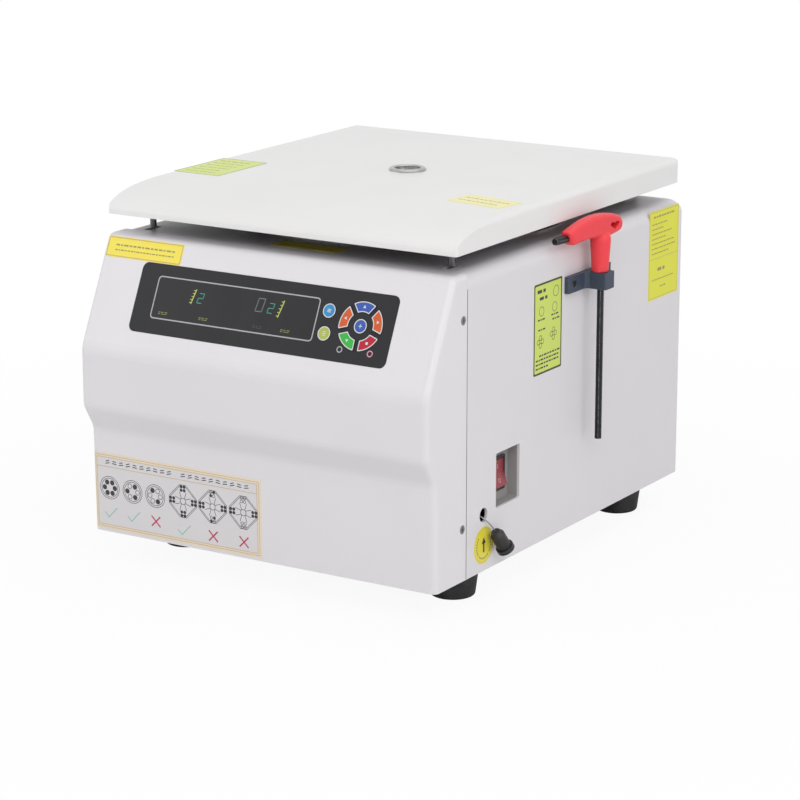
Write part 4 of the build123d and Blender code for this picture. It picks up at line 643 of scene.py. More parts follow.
def rounded(points: Sequence[Point], radius: float, steps: int = 6) -> list[Point]:
    """Rounds the sharp corners of an outline.

    Args:
        points: the outline.
        radius: the corner radius.
        steps: pieces in each corner's curve.

    Returns:
        The outline with a curve in place of each turn of more than 25 degrees.
    """
    result: list[Point] = []
    count = len(points)
    for index in range(count):
        before = Vector(points[index - 1])
        here = Vector(points[index])
        after = Vector(points[(index + 1) % count])
        come = (here - before).normalized()
        leave = (after - here).normalized()
        turn = come.angle(leave)
        if turn < math.radians(25):
            result.append(tuple(here))
            continue
        cut = min(radius * math.tan(turn / 2), (here - before).length / 2, (after - here).length / 2)
        start = here - come * cut
        end = here + leave * cut
        for step in range(steps + 1):
            share = step / steps
            blend = start * (1 - share) ** 2 + here * 2 * share * (1 - share) + end * share ** 2
            result.append(tuple(blend))
    return result


def stroke(start: Point, end: Point, width: float) -> list[Point]:
    """A straight stroke between two points.

    Args:
        start: the middle of its first end.
        end: the middle of its last end.
        width: its width; it reaches half of this past both points.

    Returns:
        Its corners, anticlockwise.
    """
    along = (Vector(end) - Vector(start)).normalized() * width / 2
    side = Vector((-along.y, along.x))
    first, last = Vector(start) - along, Vector(end) + along
    return [tuple(first - side), tuple(last - side), tuple(last + side), tuple(first + side)]


def bent_stroke(start: Point, corner: Point, end: Point, width: float) -> list[Point]:
    """A stroke with one mitred corner.

    Args:
        start: the middle of its first end.
        corner: the middle of its corner.
        end: the middle of its last end.
        width: its width.

    Returns:
        Its outline, anticlockwise.
    """
    come = (Vector(corner) - Vector(start)).normalized()
    leave = (Vector(end) - Vector(corner)).normalized()
    side_come = Vector((-come.y, come.x)) * width / 2
    side_leave = Vector((-leave.y, leave.x)) * width / 2
    mitre = (side_come + side_leave).normalized()
    mitre *= (width / 2) / max(mitre.dot(side_come.normalized()), 0.2)
    middle = Vector(corner)
    return [tuple(Vector(start) - side_come), tuple(middle - mitre), tuple(Vector(end) - side_leave),
            tuple(Vector(end) + side_leave), tuple(middle + mitre), tuple(Vector(start) + side_come)]


@dataclass(frozen=True)
class Face:
    """A flat place on the object: where it starts, and which ways are across, up and out."""

    origin: Vector
    across: Vector
    up: Vector

    @property
    def out(self) -> Vector:
        """The way out of the surface."""
        return self.across.cross(self.up)

    def point(self, x: float, y: float, lift: float = 0.0) -> Vector:
        """The point at x across, y up and lift out of the face."""
        return self.origin + self.across * x + self.up * y + self.out * lift

    def shifted(self, x: float, y: float, turn: float = 0.0) -> "Face":
        """The same face with its origin moved and its axes turned.

        Args:
            x: how far across the origin moves.
            y: how far up it moves.
            turn: how far the axes turn, in degrees.

        Returns:
            The new face.
        """
        angle = math.radians(turn)
        across = self.across * math.cos(angle) + self.up * math.sin(angle)
        return Face(self.point(x, y), across, self.out.cross(across))


class Sheet:
    """A piece of thin flat shapes on one face, each with its own height and finish."""

    def __init__(self, name: str, face: Face, bend: Callable[[Vector], Vector] | None = None,
                 cuts: Sequence[float] = (), rises: Sequence[float] = ()) -> None:
        """Starts an empty piece.

        Args:
            name: the piece's name.
            face: the flat place it is drawn on.
            bend: moves each finished point, to lay the piece on a curved surface.
            cuts: places across the face where the shapes are divided before they are bent.
            rises: places up the face where they are divided too.
        """
        self.name = name
        self.face = face
        self.bend = bend
        self.cuts = cuts
        self.rises = rises
        self.points: list[Vector] = []
        self.faces: list[list[int]] = []
        self.slots: list[int] = []
        self.finishes: list[Palette] = []

    def _slot(self, finish: Palette) -> int:
        """Finds the material slot of a finish, and adds it when new.

        Args:
            finish: the finish.

        Returns:
            The slot's index.
        """
        if finish not in self.finishes:
            self.finishes.append(finish)
        return self.finishes.index(finish)

    def _add(self, outlines: Iterable[Sequence[Point]], heights: Sequence[float]) -> list[list[int]]:
        """Adds loops of points.

        Args:
            outlines: one outline for each loop.
            heights: the height of each.

        Returns:
            The indices of each loop's points.
        """
        loops = []
        for outline, height in zip(outlines, heights):
            start = len(self.points)
            self.points += [self.face.point(x, y, height) for x, y in outline]
            loops.append(list(range(start, start + len(outline))))
        return loops

    def _wall(self, low: list[int], high: list[int], slot: int) -> None:
        """Joins two loops of equal length.

        Args:
            low: the first loop's indices.
            high: the second loop's indices.
            slot: the material slot of the faces.
        """
        count = len(low)
        for index in range(count):
            after = (index + 1) % count
            self.faces.append([low[index], low[after], high[after], high[index]])
            self.slots.append(slot)

    def plate(self, outline: Sequence[Point], low: float, high: float, finish: Palette) -> None:
        """Adds a filled shape.

        Args:
            outline: its edge, anticlockwise.
            low: the height of its underside.
            high: the height of its face.
            finish: its finish.
        """
        slot = self._slot(finish)
        under, over = self._add((outline, outline), (low, high))
        self._wall(under, over, slot)
        self.faces += [over, under[::-1]]
        self.slots += [slot, slot]

    def ring(self, outer: Sequence[Point], inner: Sequence[Point], low: float, high: float,
             finish: Palette) -> None:
        """Adds a closed band.

        Args:
            outer: its outer edge, anticlockwise.
            inner: its inner edge, with as many points.
            low: the height of its underside.
            high: the height of its face.
            finish: its finish.
        """
        slot = self._slot(finish)
        loops = self._add((outer, outer, inner, inner), (low, high, high, low))
        for first, second in zip(loops, loops[1:] + loops[:1]):
            self._wall(first, second, slot)

    def build(self, body: str, slot: str) -> bpy.types.Object:
        """Makes the piece.

        Args:
            body: the body that it rides on.
            slot: the record's material slot; not used.

        Returns:
            The new object.
        """
        mesh = bpy.data.meshes.new(self.name)
        mesh.from_pydata(self.points, [], self.faces)
        for finish in self.finishes:
            mesh.materials.append(finish.material())
        mesh.polygons.foreach_set("material_index", self.slots)
        if self.bend:
            self._lay(mesh)
        mesh.update()
        piece = bpy.data.objects.new(self.name, mesh)
        bpy.context.scene.collection.objects.link(piece)
        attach(piece, body)
        LOG.info("made %s with %d shapes", self.name, len(self.faces))
        return piece

    def _lay(self, mesh: bpy.types.Mesh) -> None:
        """Divides the flat shapes and lays every point on the curved surface.

        Args:
            mesh: the flat mesh, which is changed.
        """
        work = bmesh.new()
        work.from_mesh(mesh)
        planes = [(self.face.point(x, 0.0), self.face.across) for x in self.cuts]
        planes += [(self.face.point(0.0, y), self.face.up) for y in self.rises]
        for point, normal in planes:
            bmesh.ops.bisect_plane(work, geom=[*work.verts, *work.edges, *work.faces],
                                   plane_co=point, plane_no=normal)
        for vertex in work.verts:
            vertex.co = self.bend(vertex.co)
        work.to_mesh(mesh)
        work.free()


class Solid:
    """A closed mesh built up from prisms and turned shapes on one face."""

    def __init__(self, name: str, face: Face) -> None:
        """Starts an empty solid.

        Args:
            name: the piece's name.
            face: where its outlines are drawn.
        """
        self.name = name
        self.face = face
        self.work = bmesh.new()

    def prism(self, outline: Sequence[Point], low: float, high: float) -> None:
        """Adds an upright prism.

        Args:
            outline: its section on the face.
            low: the height of its underside.
            high: the height of its top.
        """
        self._skin([[self.face.point(x, y, lift) for x, y in outline] for lift in (low, high)])

    def turned(self, profile: Sequence[Point], x: float = 0.0, count: int = 40) -> None:
        """Adds a shape turned about an axis that runs up the face.

        Args:
            profile: (radius, height) pairs in order.
            x: where the axis is across the face.
            count: points round the axis.
        """
        turns = [2 * math.pi * index / count for index in range(count)]
        self._skin([[self.face.point(x + radius * math.cos(turn), y, radius * math.sin(turn))
                     for turn in turns] for radius, y in profile])

    def _skin(self, rings: Sequence[Sequence[Vector]]) -> None:
        """Joins rings of points one after the other and closes both ends.

        Args:
            rings: loops of equal length.
        """
        made = [[self.work.verts.new(point) for point in ring] for ring in rings]
        count = len(made[0])
        for low, high in zip(made, made[1:]):
            for index in range(count):
                after = (index + 1) % count
                self.work.faces.new((low[index], low[after], high[after], high[index]))
        self.work.faces.new(made[0][::-1])
        self.work.faces.new(made[-1])

    def net(self, rows: Sequence[Sequence[Vector]]) -> None:
        """Adds an open net of points.

        Args:
            rows: rows of equal length; points that fall together are joined.
        """
        made = [[self.work.verts.new(point) for point in row] for row in rows]
        for low, high in zip(made, made[1:]):
            for index in range(len(low) - 1):
                self.work.faces.new((low[index], low[index + 1], high[index + 1], high[index]))
        bmesh.ops.remove_doubles(self.work, verts=self.work.verts, dist=0.00002)
        bmesh.ops.dissolve_degenerate(self.work, edges=self.work.edges, dist=0.00002)

    def place(self) -> bpy.types.Object:
        """Makes the object, with its faces turned outwards.

        Returns:
            The object, in the scene.
        """
        bmesh.ops.recalc_face_normals(self.work, faces=self.work.faces)
        mesh = bpy.data.meshes.new(self.name)
        self.work.to_mesh(mesh)
        self.work.free()
        piece = bpy.data.objects.new(self.name, mesh)
        bpy.context.scene.collection.objects.link(piece)
        return piece


def cut_out(piece: bpy.types.Object, cutter: bpy.types.Object) -> None:
    """Takes a cutter's shape out of a piece and removes the cutter.

    Args:
        piece: the piece, whose modifiers are applied first.
        cutter: the closed shape to take away.
    """
    cut = piece.modifiers.new("cut", "BOOLEAN")
    cut.operation = "DIFFERENCE"
    cut.object = cutter
    settle(piece)
    bpy.data.objects.remove(cutter)


def settle(piece: bpy.types.Object) -> None:
    """Applies every modifier of a piece and shades it smooth between its sharp edges.

    Args:
        piece: the object, whose mesh is replaced.
    """
    graph = bpy.context.evaluated_depsgraph_get()
    mesh = bpy.data.meshes.new_from_object(piece.evaluated_get(graph))
    piece.modifiers.clear()
    piece.data = mesh
    mesh.polygons.foreach_set("use_smooth", [True] * len(mesh.polygons))
    mesh.set_sharp_from_angle(angle=SHARP_ANGLE)


def inset_outline(points: Sequence[Point], depth: float) -> list[Point]:
    """Draws an outline in by a depth.

    Args:
        points: the outline, anticlockwise and closely spaced.
        depth: how far inside it the new outline lies.

    Returns:
        The inner outline, without the points that come nearer to the old one than depth.
    """
    result = []
    for index, here in enumerate(points):
        along = Vector(points[(index + 1) % len(points)]) - Vector(points[index - 1])
        inner = Vector(here) + Vector((-along.y, along.x)).normalized() * depth
        if min((inner - Vector(point)).length for point in points) >= depth * 0.97:
            result.append(tuple(inner))
    return result


def soft_outline(points: Sequence[Point], step: float, rounds: int) -> list[Point]:
    """Divides an outline closely and eases its corners.

    Args:
        points: the outline.
        step: the spacing of the new points.
        rounds: how often each point is averaged with its neighbours.

    Returns:
        The eased outline.
    """
    dense: list[Vector] = []
    for index, here in enumerate(points):
        start, end = Vector(here), Vector(points[(index + 1) % len(points)])
        pieces = max(1, round((end - start).length / step))
        dense += [start.lerp(end, piece / pieces) for piece in range(pieces)]
    for _ in range(rounds):
        dense = [(dense[index - 1] + here * 2 + dense[(index + 1) % len(dense)]) / 4
                 for index, here in enumerate(dense)]
    return [tuple(point) for point in dense]


@dataclass
class Body:
    """The painted case, its base, back and the parts fixed inside it."""

    painted: tuple[str, ...] = ("case_shell", "back_panel")
    plated: tuple[str, ...] = ("base_pan", "back_screws", "foot_screws", "hinge_brackets")
    black: tuple[str, ...] = ("mains_inlet", "fan_frame", "lock_guides")
    rubber: tuple[str, ...] = ("foot_front_left", "foot_front_right", "foot_rear_left",
                               "foot_rear_right", "motor_mounts")
    seam_width: float = 0.8 * MM
    seam_foot: float = 0.5 * MM
    seam_top: float = 14.0 * MM
    seam_sunk: float = 0.05 * MM
    seam_proud: float = 0.04 * MM

    def dress(self) -> None:
        """Finishes the case and what is fixed to it."""
        for node in self.painted:
            dress(node, Palette.CASE_PAINT)
        dress("front_panel", Palette.FRONT_PAINT)
        for node in self.plated:
            dress(node, Palette.ZINC)
        for node in self.black:
            dress(node, Palette.BLACK_PLASTIC)
        for node in self.rubber:
            dress(node, Palette.FOOT)
        self.shade_seams()
        dress("front_panel_screws", Palette.WIRE)
        dress("hinge_pins", Palette.BRIGHT)
        dress("key_clip_screws", Palette.HEX_STEEL)

    def shade_seams(self) -> None:
        """Paints the shade of the narrow gap between the moulded front and the folded case on each
        side, as a dark strip.
        """
        low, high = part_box("case_shell")
        half = self.seam_width / 2
        tall = high.z - low.z - self.seam_top
        for name, x, way in (("seam_shade_right", high.x, 1.0), ("seam_shade_left", low.x, -1.0)):
            face = Face(Vector((x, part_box("front_panel")[1].y, low.z)), Y_AXIS * way, Z_AXIS)
            sheet = Sheet(name, face)
            # A dark rubber-coloured strip: painted shade of the gap.
            sheet.plate(rectangle(-half, half, self.seam_foot, tall), -self.seam_sunk,
                        self.seam_proud, Palette.SEAL)
            sheet.build("case", "white_paint")


@dataclass
class Drive:
    """Motor, rotor, bowl, lock and fan."""

    finishes: dict[str, Palette] = field(default_factory=lambda: {
        "chamber_bowl": Palette.STAINLESS,
        "chamber_gasket": Palette.SEAL,
        "motor_plate": Palette.ROLLED,
        "motor_housing": Palette.CAST,
        "motor_end_cap": Palette.CAST,
        "motor_bearings": Palette.BRIGHT,
        "spindle": Palette.BRIGHT,
        "rotor_body": Palette.ROTOR,
        "rotor_nut": Palette.STAINLESS,
        "fan_blades": Palette.BLACK_PLASTIC,
        "drive_board": Palette.BOARD,
        "display_board": Palette.BOARD,
        "keypad_mat": Palette.SILICONE,
        "lock_bar": Palette.ROLLED,
        "lock_solenoid": Palette.ROLLED,
        "solenoid_plunger": Palette.BRIGHT,
    })

    def dress(self) -> None:
        """Finishes the machinery."""
        for node, finish in self.finishes.items():
            dress(node, finish)


@dataclass
class Lid:
    """The lid's cover, plate, port, strikers and leaves."""

    finishes: dict[str, Palette] = field(default_factory=lambda: {
        # The inner plate's dark finish paints the deep shade in the gap under the lid.
        "lid_plate": Palette.LINER,
        "lid_screws": Palette.ZINC,
        "hinge_leaves": Palette.ZINC,
        "sight_ring": Palette.PORT_RING,
        "sight_glass": Palette.GLASS,
    })

    corner_radius: float = 3.0 * MM
    edge_radius: float = 6.0 * MM
    roll_deep: float = 94.0 * MM
    roll_tall: float = 20.0 * MM
    sheet: float = 1.5 * MM
    port_radius: float = 13.55 * MM
    flange: tuple[float, float] = (5.0 * MM, 1.5 * MM)
    shank_radius: float = 2.9 * MM
    shank_gap: float = 1.0 * MM
    neck_radius: float = 1.8 * MM
    ease: float = 0.4 * MM
    head: tuple[float, float] = (3.0 * MM, 5.0 * MM)

    def dress(self) -> None:
        """Finishes the lid."""
        for node, finish in self.finishes.items():
            dress(node, finish)

    def build_cover(self) -> None:
        """Presses the cover, rolled over at the front and turned down, with the port's hole."""
        low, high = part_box("lid_shell")
        ring_low, ring_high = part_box("sight_ring")
        shoulder = high.z - self.roll_tall
        quarter = quarter_turn(10)
        turn_in = [self.edge_radius * (1 - math.cos(angle)) for angle in quarter]
        drop = [self.edge_radius * (1 - math.sin(angle)) for angle in quarter]
        sides = [(low.x + x, high.z - z) for x, z in zip(turn_in, drop)]
        sides += [(0.0, high.z)]
        sides += [(high.x - x, high.z - z) for x, z in zip(turn_in[::-1], drop[::-1])]
        lengths = [(low.y + self.roll_deep * (1 - math.cos(angle)),
                    shoulder + self.roll_tall * math.sin(angle)) for angle in quarter_turn(20)]
        lengths += [(low.y + self.roll_deep + share * (high.y - low.y - self.roll_deep), high.z)
                    for share in (0.25, 0.5, 0.75)]
        lengths += [(high.y - y, high.z - z) for y, z in zip(turn_in[::-1], drop[::-1])]
        rows = [self._cover_row(sides, y, z, low, high) for y, z in
                ((low.y, low.z), *lengths, (high.y, low.z))]
        cover = Solid("lid_cover", Face(Vector(), X_AXIS, Y_AXIS))
        cover.net(rows)
        piece = cover.place()
        thick = piece.modifiers.new("sheet", "SOLIDIFY")
        thick.thickness = self.sheet
        thick.offset = -1.0
        middle = (ring_low + ring_high) / 2
        hole = Solid("port_cutter", Face(Vector((middle.x, middle.y, high.z)), X_AXIS, Z_AXIS))
        reach = self.port_radius
        hole.turned([(self.port_radius, -reach), (self.port_radius, reach)], 0.0, 64)
        cut_out(piece, hole.place())
        hand_over(piece, Palette.LID_PAINT, "lid", "lid_shell")

    def _cover_row(self, sides: Sequence[Point], y: float, z: float, low: Vector,
                   high: Vector) -> list[Vector]:
        """One row of the cover's points, up one wall, over the top and down the other.

        Args:
            sides: (x, z) pairs over the top, with both edges turned down.
            y: where the row is along the lid.
            z: the most height that it has there.
            low: the lid's lowest corner.
            high: its highest corner.

        Returns:
            The row, with the plan's corners rounded.
        """
        radius = self.corner_radius
        row = []
        for x, tall in ((low.x, low.z), *sides, (high.x, low.z)):
            centre_x = min(max(x, low.x + radius), high.x - radius)
            centre_y = min(max(y, low.y + radius), high.y - radius)
            away = Vector((x - centre_x, y - centre_y))
            if away.length > radius:
                away *= radius / away.length
            row.append(Vector((centre_x + away.x, centre_y + away.y, min(tall, z))))
        return row

    def build_strikers(self) -> None:
        """Turns the two dark strikers, stout over the deck and necked where the bar holds them."""
        low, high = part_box("lid_strikers")
        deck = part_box("case_shell")[1].z + self.shank_gap
        face = Face(Vector((0.0, (low.y + high.y) / 2, 0.0)), X_AXIS, Z_AXIS)
        radius, thick = self.flange
        under = high.z - thick
        head_radius, head_tall = self.head
        ease = self.ease
        strikers = Solid("strikers", face)
        for x in (low.x + radius, high.x - radius):
            strikers.turned([
                (radius, high.z), (radius, under + ease), (radius - ease, under),
                (self.shank_radius, under), (self.shank_radius, deck + ease), (self.neck_radius, deck),
                (self.neck_radius, low.z + head_tall), (head_radius, low.z + head_tall),
                (head_radius, low.z + ease), (head_radius - ease, low.z)], x)
        piece = strikers.place()
        settle(piece)
        hand_over(piece, Palette.STRIKER, "lid", "lid_strikers")


@dataclass
class ControlFace:
    """The sloping control face: window line, key outlines, key marks and figures.

    Places are measured from the middle of the case and up the slope from its foot.
    """

    lean: float = math.radians(25.2)
    overlay_thick: float = 0.8 * MM
    overlay_x: float = 0.5 * MM
    overlay_foot: float = 20.25 * MM
    print_thick: float = 0.05 * MM
    line_box: tuple[float, float, float, float] = (-113 * MM, 57 * MM, 33.9 * MM, 72.5 * MM)
    line_width: float = 1.1 * MM
    line_radius: float = 4.0 * MM
    outline_width: float = 0.85 * MM
    round_radius: float = 6.2 * MM
    round_x: float = 67.5 * MM
    round_u: tuple[float, float] = (42.6 * MM, 62.6 * MM)
    pad_x: float = 101.2 * MM
    pad_u: float = 53.1 * MM
    pad_radius: float = 21.5 * MM
    pad_inner: float = 12.3 * MM
    pad_gap: float = 4.4 * MM
    pad_corner: float = 1.3 * MM
    sign_size: float = 1.5 * MM
    sign_line: float = 0.6 * MM
    key_proud: float = 0.5 * MM
    overlay_proud: float = 0.2 * MM
    indicator_x: tuple[float, float] = (86.1 * MM, 116.3 * MM)
    indicator_u: float = 31.1 * MM
    indicator_radius: float = 2.85 * MM
    indicator_line: float = 0.9 * MM
    figure_size: tuple[float, float] = (6.4 * MM, 10.4 * MM)
    figure_line: float = 1.0 * MM
    bar_lean: float = 0.22
    bar_line: float = 0.9 * MM
    tick_line: float = 0.65 * MM
    tick_reach: tuple[float, float] = (2.0 * MM, 0.7 * MM)
    bar_x: tuple[float, float] = (-72.0 * MM, 19.5 * MM)
    bar_u: float = 58.0 * MM
    bar_reach: tuple[float, float] = (6.2 * MM, 7.2 * MM)
    caption_x: tuple[float, ...] = (-100.0 * MM, -57.0 * MM, 0.0 * MM, 28.5 * MM)
    caption_u: float = 39.6 * MM
    caption_half: float = 4.6 * MM
    caption_step: float = 3.3 * MM
    caption_line: float = 0.6 * MM
    caption_rows: tuple[tuple[float, tuple[float, ...]], ...] = (
        (0.75 * MM, (1.9 * MM, 1.3 * MM, 2.2 * MM)), (-0.75 * MM, (1.4 * MM, 2.1 * MM, 1.6 * MM)))

    def __post_init__(self) -> None:
        """Finds the face from the overlay's box and lists the keys with their colours."""
        low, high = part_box("control_overlay")
        up = Vector((0.0, math.sin(self.lean), math.cos(self.lean)))
        foot = Vector(((low.x + high.x) / 2, low.y, low.z + self.overlay_thick * math.sin(self.lean)))
        origin = foot - up * self.overlay_foot - Vector((self.overlay_x, 0.0, 0.0))
        self.face = Face(origin, X_AXIS, up)
        self.ring_keys = {
            "ring_key_top": Palette.KEY_INDIGO,
            "ring_key_right": Palette.KEY_ORANGE,
            "ring_key_lower_right": Palette.KEY_CRIMSON,
            "ring_key_lower_left": Palette.KEY_GREEN,
            "ring_key_left": Palette.KEY_ORANGE,
        }
        self.round_keys = {
            "centre_key": (Palette.KEY_INDIGO, (self.pad_x, self.pad_u)),
            "round_key_upper": (Palette.KEY_CYAN, (self.round_x, self.round_u[1])),
            "round_key_lower": (Palette.KEY_LIME, (self.round_x, self.round_u[0])),
        }

    def dress(self) -> None:
        """Finishes the overlay, the window and the keys' black film."""
        dress("display_window", Palette.WINDOW)
        for node in ("control_overlay", *self.ring_keys, *self.round_keys):
            dress(node, Palette.OVERLAY)

    def sector(self, index: int, inset: float) -> list[Point]:
        """The printed outline of one ring key.

        Args:
            index: 0 at the top, then clockwise.
            inset: how far inside the print's edge the outline lies.

        Returns:
            The outline, anticlockwise.
        """
        setback = self.pad_gap / 2 + inset
        middle = math.radians(90 - 72 * index)
        points = []
        for radius, way in ((self.pad_radius - inset, 1), (self.pad_inner + inset, -1)):
            reach = math.radians(36) - math.asin(setback / radius)
            for step in range(-7, 8):
                angle = middle + way * reach * step / 7
                points.append((self.pad_x + radius * math.cos(angle),
                               self.pad_u + radius * math.sin(angle)))
        return rounded(points, self.pad_corner - inset / 2, 4)

    def print_lines(self) -> None:
        """Prints the window's line and the two indicator rings."""
        sheet = Sheet("control_print", self.face)
        x0, x1, u0, u1 = self.line_box
        wide = self.line_width
        outer = rounded(rectangle(x0, x1, u0, u1), self.line_radius)
        inner = rounded(rectangle(x0 + wide, x1 - wide, u0 + wide, u1 - wide),
                        self.line_radius - wide)
        sheet.ring(outer, inner, 0.0, self.print_thick, Palette.PRINT_GREY)
        for x, finish in zip(self.indicator_x, (Palette.PRINT_GREY, Palette.PRINT_PINK)):
            outer = circle(x, self.indicator_u, self.indicator_radius, 32)
            inner = circle(x, self.indicator_u, self.indicator_radius - self.indicator_line, 32)
            sheet.ring(outer, inner, 0.0, self.print_thick, finish)
        sheet.build("case", "overlay")

    def print_keys(self) -> None:
        """Prints every key's white line, colour and sign."""
        ring = (self.pad_radius + self.pad_inner) / 2
        line = self.outline_width
        for index, (name, finish) in enumerate(self.ring_keys.items()):
            angle = math.radians(90 - 72 * index)
            middle = (self.pad_x + ring * math.cos(angle), self.pad_u + ring * math.sin(angle))
            self._print_key(name, finish, self.sector(index, 0.0), self.sector(index, line),
                            self._sign(name, *middle))
        for name, (finish, (x, u)) in self.round_keys.items():
            self._print_key(name, finish, circle(x, u, self.round_radius),
                            circle(x, u, self.round_radius - line), self._sign(name, x, u))

    def _print_key(self, name: str, finish: Palette, outer: Sequence[Point],
                   inner: Sequence[Point], sign: Sequence[Sequence[Point]]) -> None:
        """Prints one key.

        Args:
            name: the key's node and body.
            finish: its colour.
            outer: the white line's outer edge.
            inner: the white line's inner edge.
            sign: the outlines of its sign.
        """
        low = self.key_proud - self.overlay_proud
        high = low + self.print_thick
        sheet = Sheet(f"{name}_print", self.face)
        sheet.ring(outer, inner, low, high, Palette.PRINT_WHITE)
        sheet.plate(inner, low, high - self.print_thick / 2, finish)
        for outline in sign:
            sheet.plate(outline, low, high, Palette.PRINT_WHITE)
        sheet.build(name, frame_slot(name))

    def _sign(self, name: str, x: float, u: float) -> list[Sequence[Point]]:
        """The plain sign of a key.

        Args:
            name: the key's node.
            x: the sign's centre across.
            u: the sign's centre up the slope.

        Returns:
            The outlines of the sign.
        """
        size = self.sign_size
        bar = self.sign_line
        half = size * 0.75
        signs = {
            "ring_key_top": [[(x - size, u - half), (x + size, u - half), (x, u + size)]],
            "ring_key_right": [[(x - half, u - size), (x + size, u), (x - half, u + size)]],
            "ring_key_lower_right": [rectangle(x - half, x + half, u - half, u + half)],
            "ring_key_lower_left": [[(x - size, u + half), (x, u - size), (x + size, u + half)]],
            "ring_key_left": [[(x + half, u - size), (x + half, u + size), (x - size, u)]],
            "centre_key": [stroke((x - size, u), (x + size, u), bar),
                           stroke((x, u + bar), (x, u + size), bar),
                           stroke((x, u - size), (x, u - bar), bar)],
            "round_key_upper": [stroke((x - size, u + rise), (x + size, u + rise), bar)
                                for rise in (-half, 0.0, half)],
            "round_key_lower": [stroke((x - size, u), (x + size, u), bar),
                                stroke((x - half, u - size), (x + half, u - size), bar),
                                stroke((x - half, u + size), (x + half, u + size), bar)],
        }
        return signs[name]

    def light_figures(self) -> None:
        """Lights the display's figures, bars and captions."""
        sheet = Sheet("display_figures", self.face)
        figures = (
            ("2", -64.5 * MM, 57.3 * MM, 0.92, Palette.LIT_TEAL),
            ("0", -2.2 * MM, 59.0 * MM, 1.2, Palette.DIM_GREY),
            ("2", 9.2 * MM, 57.4 * MM, 0.92, Palette.LIT_TEAL),
        )
        for digit, x, u, scale, finish in figures:
            wide, tall = (size * scale for size in self.figure_size)
            for outline in segment_outlines(digit, x, u, wide, tall, self.figure_line):
                sheet.plate(outline, 0.0, self.print_thick, finish)
        for x, reach in zip(self.bar_x, self.bar_reach):
            self._light_bar(sheet, x, reach)
        finishes = (Palette.DIM_GREEN, Palette.DIM_GREEN, Palette.FAINT_GREY, Palette.DIM_GREEN)
        for x, finish in zip(self.caption_x, finishes):
            self._light_caption(sheet, x, finish)
        sheet.build("case", "window")

    def _light_bar(self, sheet: Sheet, x: float, reach: float) -> None:
        """Lights one leaning level bar with ticks on its left.

        Args:
            sheet: the piece to add it to.
            x: its centre across.
            reach: half its height.
        """
        u = self.bar_u
        shift = self.bar_lean * reach
        bar = stroke((x - shift, u - reach), (x + shift, u + reach), self.bar_line)
        sheet.plate(bar, 0.0, self.print_thick, Palette.LIT_LIME)
        far, near = self.tick_reach
        for step in range(5):
            rise = (step - 2) * reach * 0.44
            middle = x + self.bar_lean * rise
            tick = stroke((middle - far, u + rise), (middle - near, u + rise), self.tick_line)
            sheet.plate(tick, 0.0, self.print_thick, Palette.LIT_LIME)

    def _light_caption(self, sheet: Sheet, x: float, finish: Palette) -> None:
        """Lights a short caption as broken lines.

        Args:
            sheet: the piece to add it to.
            x: its centre across.
            finish: its colour.
        """
        for row, lengths in self.caption_rows:
            u = self.caption_u + row
            left = x - self.caption_half
            for length in lengths:
                dash = stroke((left, u), (left + length, u), self.caption_line)
                sheet.plate(dash, 0.0, self.print_thick, finish)
                left += self.caption_step


def frame_slot(node: str) -> str:
    """Finds the material slot that the record gives a node.

    Args:
        node: the node's name.

    Returns:
        The slot's name.
    """
    for row in frame["record"]["subparts"]:
        if row["node"] == node:
            return row["material_slot"]
    return "overlay"


def segment_outlines(digit: str, x: float, y: float, wide: float, tall: float,
                     thick: float) -> list[list[Point]]:
    """The lit segments of a figure, leaning to the right.

    Args:
        digit: which figure.
        x: its centre across.
        y: its centre up.
        wide: its width.
        tall: its height.
        thick: the segments' thickness.

    Returns:
        One outline for each lit segment.
    """
    slant = 0.14
    gap = thick * 0.35
    w, h = wide / 2 - thick / 2, tall / 2 - thick / 2
    ends = {
        "a": ((-w + gap, h), (w - gap, h)), "g": ((-w + gap, 0), (w - gap, 0)),
        "d": ((-w + gap, -h), (w - gap, -h)), "f": ((-w, gap), (-w, h - gap)),
        "b": ((w, gap), (w, h - gap)), "e": ((-w, -h + gap), (-w, -gap)),
        "c": ((w, -h + gap), (w, -gap)),
    }
    lit = {"0": "abcdef", "2": "abged"}[digit]
    result = []
    for name in lit:
        start, end = ends[name]
        bar = stroke(start, end, thick * 0.82)
        result.append([(x + px + slant * py, y + py) for px, py in bar])
    return result


